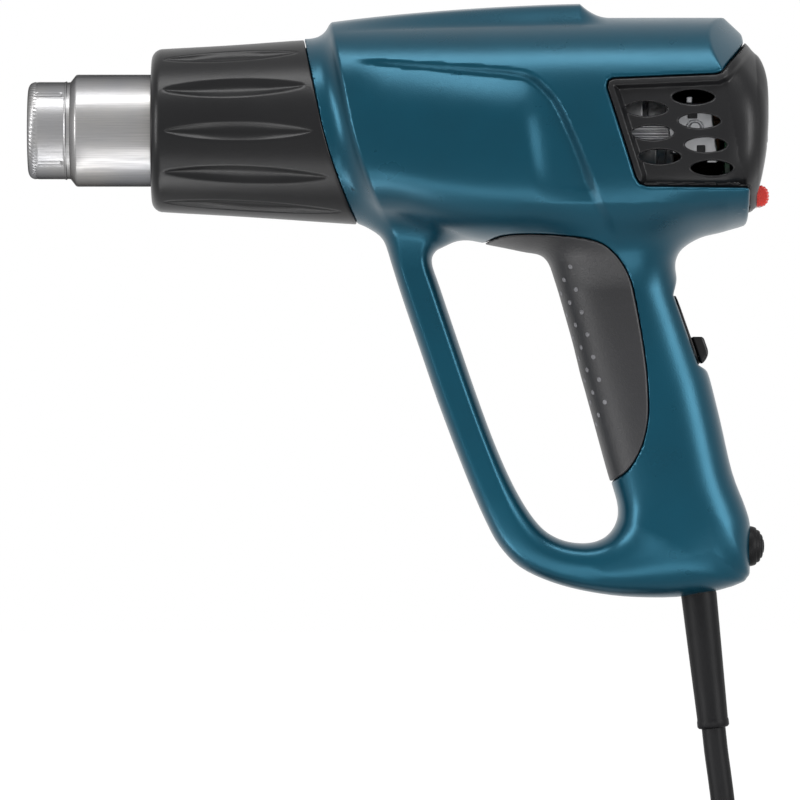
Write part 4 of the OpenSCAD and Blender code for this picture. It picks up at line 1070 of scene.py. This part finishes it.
def make_finishes():
    teal = moulded("teal_plastic", (0.0003, 0.022, 0.037), 0.29, specular=0.62)
    teal.set("Specular Tint", (0.22, 0.7, 1, 1))

    rubber = moulded("grip_rubber", (0.012, 0.012, 0.0135), 0.42, specular=0.36, grain=0.00006, wear=0.06)
    rubber.bumped(rubber.noise(900, 3), 0.00008)

    cord = moulded("cord_rubber", (0.005, 0.005, 0.0056), 0.45, specular=0.1, grain=0.00005, wear=0.05)
    cord.bumped(cord.noise(300, 4), 0.0001)

    steel = Finish("brushed_steel", (0.26, 0.26, 0.27), 0.38, metallic=1)
    steel.set("Specular Tint", (0.02, 0.02, 0.02, 1))
    streaks = steel.noise(1, 3, steel.stretched((60, 2500, 2500)))
    patches = steel.ranged(steel.noise(28, 4), 0.35, 0.7, 0, 1)
    warm = steel.two_tone(patches, (0.24, 0.245, 0.26), (0.3, 0.29, 0.275))
    steel.coloured(steel.two_tone(steel.ranged(streaks, 0.35, 0.65, 0, 0.5), warm, (0.18, 0.18, 0.185)))
    steel.rough(streaks, 0.3, 0.46)
    steel.bumped(streaks, 0.00002)

    plain = Finish("plain_steel", (0.55, 0.55, 0.56), 0.3, metallic=1)
    plain.rough(plain.noise(220, 4), 0.2, 0.42)
    plain.bumped(plain.noise(900, 3), 0.00003)

    winding = Finish("winding_wire", (0.05, 0.03, 0.02), 0.4, metallic=1)
    strands = winding.noise(1, 2, winding.stretched((200, 1400, 1400)))
    winding.mottled(strands, (0.02, 0.014, 0.01), (0.09, 0.05, 0.03))
    winding.bumped(strands, 0.0003)

    zinc = Finish("zinc_plate", (0.54, 0.545, 0.56), 0.4, metallic=1)
    zinc.mottled(zinc.noise(80, 5), (0.46, 0.47, 0.49), (0.62, 0.62, 0.63))
    zinc.rough(zinc.noise(300, 3), 0.34, 0.5)

    wire = Finish("heating_wire", (0.2, 0.16, 0.14), 0.5, metallic=1)
    wire.mottled(wire.noise(150, 3), (0.14, 0.11, 0.1), (0.3, 0.24, 0.2))
    wire.bumped(wire.noise(1200, 2), 0.00006)

    ceramic = Finish("ceramic", (0.7, 0.66, 0.56), 0.75)
    ceramic.mottled(ceramic.noise(70, 5), (0.62, 0.57, 0.46), (0.76, 0.72, 0.63))
    ceramic.bumped(ceramic.noise(1500, 4), 0.00006)

    brass = Finish("plated_brass", (0.7, 0.6, 0.36), 0.25, metallic=1)
    brass.rough(brass.noise(250, 4), 0.18, 0.4)
    brass.bumped(brass.noise(800, 2), 0.00002)

    red = Finish("red_rocker", (0.5, 0.016, 0.01), 0.22)
    red.mottled(red.noise(120, 3), (0.48, 0.014, 0.01), (0.62, 0.03, 0.018), 0.3, 0.7)
    red.set("Transmission Weight", 0.1)
    red.bumped(red.noise(1500, 2), 0.00002)

    glass = Finish("display_glass", (0.12, 0.13, 0.13), 0.06)
    glass.set("Transmission Weight", 0.75)
    glass.rough(glass.noise(60, 4), 0.03, 0.1, 0.35, 0.65)
    glass.bumped(glass.noise(25, 2), 0.00002)

    panel = Finish("display_panel", (0.22, 0.27, 0.2), 0.25)
    panel.mottled(panel.noise(1500, 1), (0.2, 0.25, 0.18), (0.24, 0.29, 0.22), 0.4, 0.6)
    panel.bumped(panel.noise(2000, 1), 0.00001)

    board = Finish("circuit_board", (0.02, 0.13, 0.06), 0.35)
    tracks = board.noise(300, 0, board.stretched((0.2, 1, 1)))
    board.mottled(tracks, (0.01, 0.05, 0.025), (0.02, 0.1, 0.045), 0.49, 0.52)
    board.bumped(tracks, 0.00005)

    strap = Finish("tie_fabric", (0.03, 0.03, 0.033), 0.85)
    weave = strap.noise(1, 2, strap.stretched((2200, 700, 700)))
    strap.mottled(weave, (0.02, 0.02, 0.022), (0.05, 0.05, 0.055))
    strap.bumped(weave, 0.0002)

    made = [
        teal, rubber, cord, steel, plain, winding, zinc, wire, ceramic, brass,
        red, glass, panel, board, strap,
        moulded("black_plastic", (0.004, 0.004, 0.0046), 0.32, specular=0.22),
        moulded("cover_plastic", (0.006, 0.006, 0.0067), 0.33, specular=0.2),
        moulded("dark_inner_plastic", (0.03, 0.03, 0.033), 0.5),
        moulded("fan_plastic", (0.5, 0.5, 0.47), 0.45),
        moulded("lead_plastic", (0.16, 0.07, 0.04), 0.4),
        moulded("dot_rubber", (0.15, 0.15, 0.16), 0.5, specular=0.2, grain=0.00004, wear=0.05),
    ]
    return {finish.name: finish.material for finish in made}


# Pieces

# Step of the housing's mesh
FINE = 0.9


def make_housing(finish):
    show_carved("left_housing_shell", left_half, (-128, -46, -78), (40, 2, 137), FINE,
                "gun", "housing_teal", ["left_housing"], finish["teal_plastic"])
    show_carved("right_housing_shell", right_half, (-128, -2, -78), (40, 46, 137), FINE,
                "gun", "housing_teal", ["right_housing"], finish["teal_plastic"])


def make_rear_cover(finish):
    show_carved("vented_cover", rear_cover, (-19, -42, 58), (45, 42, 123), 0.6,
                "gun", "sleeve_black", ["rear_cover"], finish["cover_plastic"])


def make_grip(finish):
    show_carved("grip_cover", soft_grip, (-62, -32, -40), (4, 32, 57), 0.6,
                "gun", "grip_rubber", ["soft_grip"], finish["grip_rubber"])


# Heat sleeve
SLEEVE_X = -173.6
SLEEVE_R = 28.3
SLEEVE_SLOPE = 3.8 / 60
SLEEVE_EDGE = 4
SLEEVE_WALL = 2.4
SLEEVE_GAP = 0.6
TUBE_R = 19.6
FLUTES = 12
FLUTE_DEEP = 1.4
FLUTE_HALF = 3.4
FLUTE_LEAST = 0.06


def make_sleeve(finish):
    """Heat sleeve: a slim cone with a rounded front, lens-shaped flutes and a rear edge along the seam."""
    across_flute = np.linspace(-1, 1, 17)
    across_land = np.linspace(0, 1, 13)[1:-1]
    pitch = 2 * math.pi / FLUTES

    def flute_half(share):
        along = np.clip((share - 0.02) / 0.92, 0, 1)
        return FLUTE_LEAST + FLUTE_HALF * np.sin(math.pi * along ** 0.94) ** 0.7

    def around(share):
        """Angles round the sleeve that keep to the edges of the flutes, and how deep the flutes are there."""
        half = flute_half(share) / 30
        sector = np.concatenate([half * across_flute, mix(half, pitch - half, across_land)])
        scoop = np.concatenate([1 - across_flute ** 2, 0 * across_land])
        turn = math.radians(-2) + np.arange(FLUTES)[:, None] * pitch + sector
        deep = FLUTE_DEEP * min((flute_half(share) - FLUTE_LEAST) / 2.6, 1)
        return turn.ravel(), np.tile(deep * scoop, FLUTES)

    def outer_r(x):
        return SLEEVE_R + SLEEVE_SLOPE * (x - SLEEVE_X)

    def rear_end(turn):
        return SEAM_X + seam_lean(32 * np.sin(turn)) - SLEEVE_GAP

    front, _ = around(0)
    rear, _ = around(1)
    hole = TUBE_R + 0.5
    edge_x = SLEEVE_X + SLEEVE_EDGE
    mouth = [(2.2, hole), (0.3, hole), (0, hole + 0.3), (0, hole + 2)]
    rings = [axis_ring(front, SLEEVE_X + back, radius) for back, radius in mouth]
    for x, radius in arc((edge_x, outer_r(edge_x) - SLEEVE_EDGE), SLEEVE_EDGE, 180, 90, 14):
        rings.append(axis_ring(front, x, radius))
    for share in np.linspace(0, 1, 76)[1:]:
        turn, deep = around(share)
        x = mix(edge_x, rear_end(turn), share)
        rings.append(axis_ring(turn, x, outer_r(x) - deep))
    end = rear_end(rear)
    for back, down in ((0.35, 0.12), (0.5, 0.5), (0.5, SLEEVE_WALL)):
        rings.append(axis_ring(rear, end + back, outer_r(end) - down))
    for share in np.linspace(0, 1, 8):
        x = mix(end, edge_x, share)
        rings.append(axis_ring(rear, x, outer_r(x) - SLEEVE_WALL))
    rings.append(axis_ring(front, SLEEVE_X + 2.2, outer_r(SLEEVE_X) - 5))
    mesh = ring_mesh("fluted_sleeve", rings, True)
    show("fluted_sleeve", mesh, "sleeve", "sleeve_black", ["heat_sleeve"], finish["black_plastic"], sharp=50)


# Nozzle
TIP_R = 17
MOUTH_X = -216.8
TUBE_END_X = -106
KNURL_DEEP = 0.13
GROOVE_DEEP = 0.4
# Bead behind the tip, shoulder, tube and inner wall, as [x, radius]
NOZZLE_ROWS = [
    (-203.9, 17.05), (-203.6, 17.25), (-203.3, 17.2), (-203.1, 16.9), (-202, 17), (-200.3, 19.2),
    (-199.9, 19.5), (-199.4, TUBE_R), (-196, TUBE_R), (-180, TUBE_R), (-160, TUBE_R),
    (TUBE_END_X, TUBE_R), (TUBE_END_X, 18.6), (-199.8, 18.6), (-201.2, 15.2), (-213.8, 15.2),
    (-214.4, 14.6), (-213.4, 14.4),
]


def make_nozzle(finish):
    """Steel tube, shoulder and tip: a knurled rolled rim, and four narrow grooves pressed along the tip."""
    turn = np.linspace(0, 2 * math.pi, 432, endpoint=False)

    def ring(x, radius):
        return axis_ring(turn, x, radius)

    def groove(x):
        off = np.abs((turn - math.radians(46) + math.pi / 4) % (math.pi / 2) - math.pi / 4) * TIP_R
        along = ease((x + 214) / 0.8) * ease((-204.4 - x) / 0.8)
        return GROOVE_DEEP * along * ease((1.15 - off) / 0.5)

    def knurl(x):
        along = KNURL_DEEP * ease((x - MOUTH_X) / 0.8) * ease((-213.4 - x) / 0.7)
        return along * np.sin(72 * turn + 3.2 * x)

    rings = [ring(-213.4, 13.6), ring(-216.2, 13.6), ring(-216.6, 13.8), ring(MOUTH_X, 14.2)]
    for x, radius in arc((-214.2, 14.4), 2.6, 178, 92, 12):
        rings.append(ring(x, radius - KNURL_DEEP + knurl(x)))
    for x in np.linspace(-213.6, -204.2, 24):
        rings.append(ring(x, TIP_R - KNURL_DEEP * ease((-213.2 - x) / 0.5) + knurl(x) - groove(x)))
    rings += [ring(x, radius) for x, radius in NOZZLE_ROWS]
    mesh = ring_mesh("steel_nozzle", rings, True)
    show("steel_nozzle", mesh, "gun", "nozzle_steel", ["nozzle_tube"], finish["brushed_steel"], sharp=32)


def make_motor(finish):
    show_carved("brush_motor", motor, (-29, -26.5, 66), (25, 26.5, 112), 0.5,
                "gun", "motor_steel", ["motor_can"], finish["zinc_plate"])
    drum = [(8, 8), (25.3, 8), (25.9, 10)] + arc((23.9, 16.5), 2, 0, 90, 8) + [(10, 18.5), (8, 17.5)]
    mesh = turned("end_windings", drum, (0, 0, AXIS_Z), (1, 0, 0), 96)
    show("end_windings", mesh, "gun", "heating_wire", [], finish["winding_wire"], sharp=40)
    show_carved("brush_clips", brush_clips, (12, -26.4, 79), (20.4, 26.4, 97), 0.3,
                "gun", "duct_plastic", [], finish["dark_inner_plastic"])


def make_controls(finish):
    show_carved("switch_guide", switch_plate, (6, -7.2, 5), (22, 7.2, 34), 0.4,
                "gun", "sleeve_black", ["switch_plate"], finish["black_plastic"])
    show_carved("switch_thumb", switch_knob, (5, -6, 3), (27, 6, 22), 0.3,
                "switch", "sleeve_black", ["switch_knob"], finish["black_plastic"])
    show_carved("hidden_axle", hinge_axle, (36.6, -9, 63.4), (39.8, 9, 66.6), 0.3,
                "gun", "sensor_steel", ["rocker_pin"], finish["plain_steel"])
    show_carved("display_window", display_window, (38.8, -20.8, 83.2), (41.8, 20.8, 104.8), 0.4,
                "gun", "display_glass", ["display_lens"], finish["display_glass"])
    show_carved("ribbed_rocker", temperature_rocker, (35.8, -10.8, 59.8), (43, 10.8, 70.2), 0.25,
                "rocker", "rocker_red", ["temperature_rocker"], finish["red_rocker"])


# Rest button: its size, and the radii of its ring grooves
FOOT_R = 7
FOOT_HIGH = 5
FOOT_RINGS = (2.7, 4.5, 5.9)


def make_foot(finish):
    """Domed rest button with ring grooves, on a peg in the housing."""
    dome = [(FOOT_HIGH, 0.01)]
    for r in np.linspace(0.2, 6.9, 68):
        dip = sum(0.55 * math.exp(-((r - middle) / 0.28) ** 2) for middle in FOOT_RINGS)
        dome.append((FOOT_HIGH * math.sqrt(1 - (r / FOOT_R) ** 2) - dip, r))
    peg = [(0.3, FOOT_R), (-0.6, FOOT_R), (-0.6, 3), (-6, 3), (-6, 0.01)]
    mesh = turned("ringed_foot", dome + peg, (FOOT[0], 0, FOOT[1]), (1, 0, 0), 72)
    show("ringed_foot", mesh, "gun", "grip_rubber", ["rubber_foot"], finish["cord_rubber"], sharp=50)


def relief_point(way):
    """Place so far down the line of the strain relief."""
    return (RELIEF_FOOT[0] + way * math.sin(RELIEF_LEAN), 0, RELIEF_FOOT[2] - way * math.cos(RELIEF_LEAN))


# Strain relief, as [way along it, radius]
RELIEF_ROWS = [
    (-10, 4), (-10, 6.2), (-0.2, 6.3), (0.4, 6.15), (1, 6.25), (20, 5.9), (44.6, 5.4), (45, 5.5),
    (45.4, 5.6),
]


def make_cord_guard(finish):
    rows = RELIEF_ROWS + arc((46.6, 4.4), 1.3, 70, 0, 6) + [(47.9, 4.26), (20, 4.26)]
    mesh = turned("cord_guard", rows, RELIEF_FOOT, np.subtract(relief_point(1), RELIEF_FOOT), 48)
    show("cord_guard", mesh, "gun", "grip_rubber", ["strain_relief"], finish["cord_rubber"], sharp=40)


def make_screws(finish):
    shape = carved("screw_shape", screw_shape, (-3.6, -3.6, -12.4), (3.6, 3.6, 3), 0.3)
    spots = [(x, SCREW_SEAT, z) for x, z in SCREW_SPOTS]
    facing = [(0, 1, 0)] * len(spots)
    mesh = set_on_spots("cross_screws", spots, facing, shape, 1.0, 1.5, finish["plain_steel"])
    show("cross_screws", mesh, "gun", "screw_steel", ["housing_screws"], finish["plain_steel"], sharp=40)


# Rows of dots along the inner side of the grip, as the first and the last [x, z] of each row
DOT_ROWS = [[[-27.3, 41.3], [-15.2, -6]], [[-29.4, 36.8], [-17.3, -10.5]], [[-30.3, 32.2], [-17.9, -13.7]]]
DOTS = 7
# Dot, as [height, radius]
DOT_CAP = [(0.3, 0.005), (0.27, 0.3), (0.18, 0.6), (0.03, 0.85), (-0.15, 0.95), (-0.5, 0.95), (-0.5, 0.005)]


def make_grip_dots(finish):
    """Dots on both sides, each at the place where its line of sight meets the grip."""
    seen = np.vstack([np.linspace(first, last, DOTS) for first, last in DOT_ROWS])
    x, z = as_seen(seen, DOT_DEPTH).T
    outside = np.full(len(x), -30.0)
    inside = np.zeros(len(x))
    for _ in range(30):
        y = (outside + inside) / 2
        within = (soft_grip(x, y, z) < 0) | (gun_body(x, y, z) < -1)
        inside = np.where(within, y, inside)
        outside = np.where(within, outside, y)
    left = np.stack([x, outside, z], axis=1)
    facing = slope_of(soft_grip, left, soft_grip(*left.T))
    spots = np.vstack([left, left * (1, -1, 1)])
    facing = np.vstack([facing, facing * (1, -1, 1)])
    shape = turned("dot_shape", DOT_CAP, (0, 0, 0), (0, 0, 1), 14)
    mesh = set_on_spots("grip_dots", spots, facing, shape, 1.0, 0.0, finish["dot_rubber"])
    show("grip_dots", mesh, "gun", "grip_rubber", [], finish["dot_rubber"], sharp=60)


# Cord

# Stretches of the cord before and after the coil
DROP_POINTS = [
    (25.2, 0, -138), (26.3, 0, -147), (26.9, 1.2, -156), (27.3, 4.6, -166), (27.7, 10.4, -175.4),
    (28, 18.6, -183), (28, 28, -188), (28, 36.6, -190), (28, 37.6, -190),
]
LEAD_POINTS = [
    (-97.85, 37.6, -181.1), (-97.85, 36.6, -181.1), (-97.6, 30, -181.6), (-101, 20.5, -182.2),
    (-107.4, 13, -182.6), (-116, 8.2, -182.2), (-125, 6.3, -181.4), (-131.6, 6, -181.1),
    (PLUG_X, PLUG_Y, PLUG_Z),
]


def cord_points():
    """The whole cord: from the strain relief down to the floor, round the coil, and on to the plug."""
    drop = [relief_point(RELIEF_LEN), relief_point(RELIEF_LEN + CORD_D)] + DROP_POINTS
    turn = np.linspace(0, 360 * COIL_TURNS, int(40 * COIL_TURNS) + 1)
    from_middle = turn - 180 * COIL_TURNS
    radius = COIL_INNER_R + COIL_PITCH * np.abs(from_middle) / 360
    height = COIL_Z + COIL_PITCH * ease(from_middle / 180 + 0.5)
    angle = np.radians(turn)
    across = COIL_MIDDLE[0] + radius * np.cos(angle)
    coil = np.stack([across, COIL_MIDDLE[1] + radius * np.sin(angle), height], axis=1)
    return np.vstack([smooth_line(drop, 4), coil, smooth_line(LEAD_POINTS, 4)])


def make_cord(finish):
    path = cord_points()
    gaps = np.linalg.norm(np.diff(path, axis=0), axis=1)
    path = path[np.concatenate([[True], gaps > 0.5])]
    rings = tube_rings(path, [CORD_D / 2] * len(path), 14)
    mesh = ring_mesh("mains_lead", rings, False)
    cord = show("mains_lead", mesh, "gun", "cord_rubber", ["mains_cord", "cord_coil", "plug_lead"],
                finish["cord_rubber"], sharp=50)
    plug = show_carved("ringed_plug", plug_body, (-188, -14, -197), (-138, 26, -165), 0.6,
                       "gun", "cord_rubber", ["plug_body"], finish["cord_rubber"])
    pins = show_carved("round_pins", plug_pins, (-206, -7, -184.5), (-184, 19, -177.5), 0.35,
                       "gun", "pin_brass", ["plug_pins"], finish["plated_brass"])
    strap = show_carved("woven_strap", coil_strap, (-42, 73.5, -196.5), (-28, 115.5, -174.5), 0.4,
                        "gun", "tie_fabric", ["cord_tie"], finish["tie_fabric"])


def dress_solids(finish):
    """Finishes for the solids that stay as they are."""
    wears = {
        "ceramic": ["heater_core", "mica_sleeve", "barrel_flange"],
        "heating_wire": ["heating_wires"],
        "plain_steel": ["temperature_sensor", "motor_shaft", "clamp_screws"],
        "dark_inner_plastic": ["air_duct", "motor_bracket", "switch_body", "cord_clamp"],
        "fan_plastic": ["fan_impeller"],
        "display_panel": ["display_module"],
        "circuit_board": ["control_board"],
        "lead_plastic": ["supply_leads"],
    }
    for name, nodes in wears.items():
        for node in nodes:
            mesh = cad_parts[node].data
            mesh.materials.clear()
            mesh.materials.append(finish[name])


def main():
    aim_camera()
    white_world()
    pale_floor()
    light_the_gun()
    finish = make_finishes()
    make_cord(finish)
    make_housing(finish)
    make_rear_cover(finish)
    make_grip(finish)
    make_sleeve(finish)
    make_nozzle(finish)
    make_motor(finish)
    make_controls(finish)
    make_foot(finish)
    make_cord_guard(finish)
    make_screws(finish)
    make_grip_dots(finish)
    dress_solids(finish)


main()
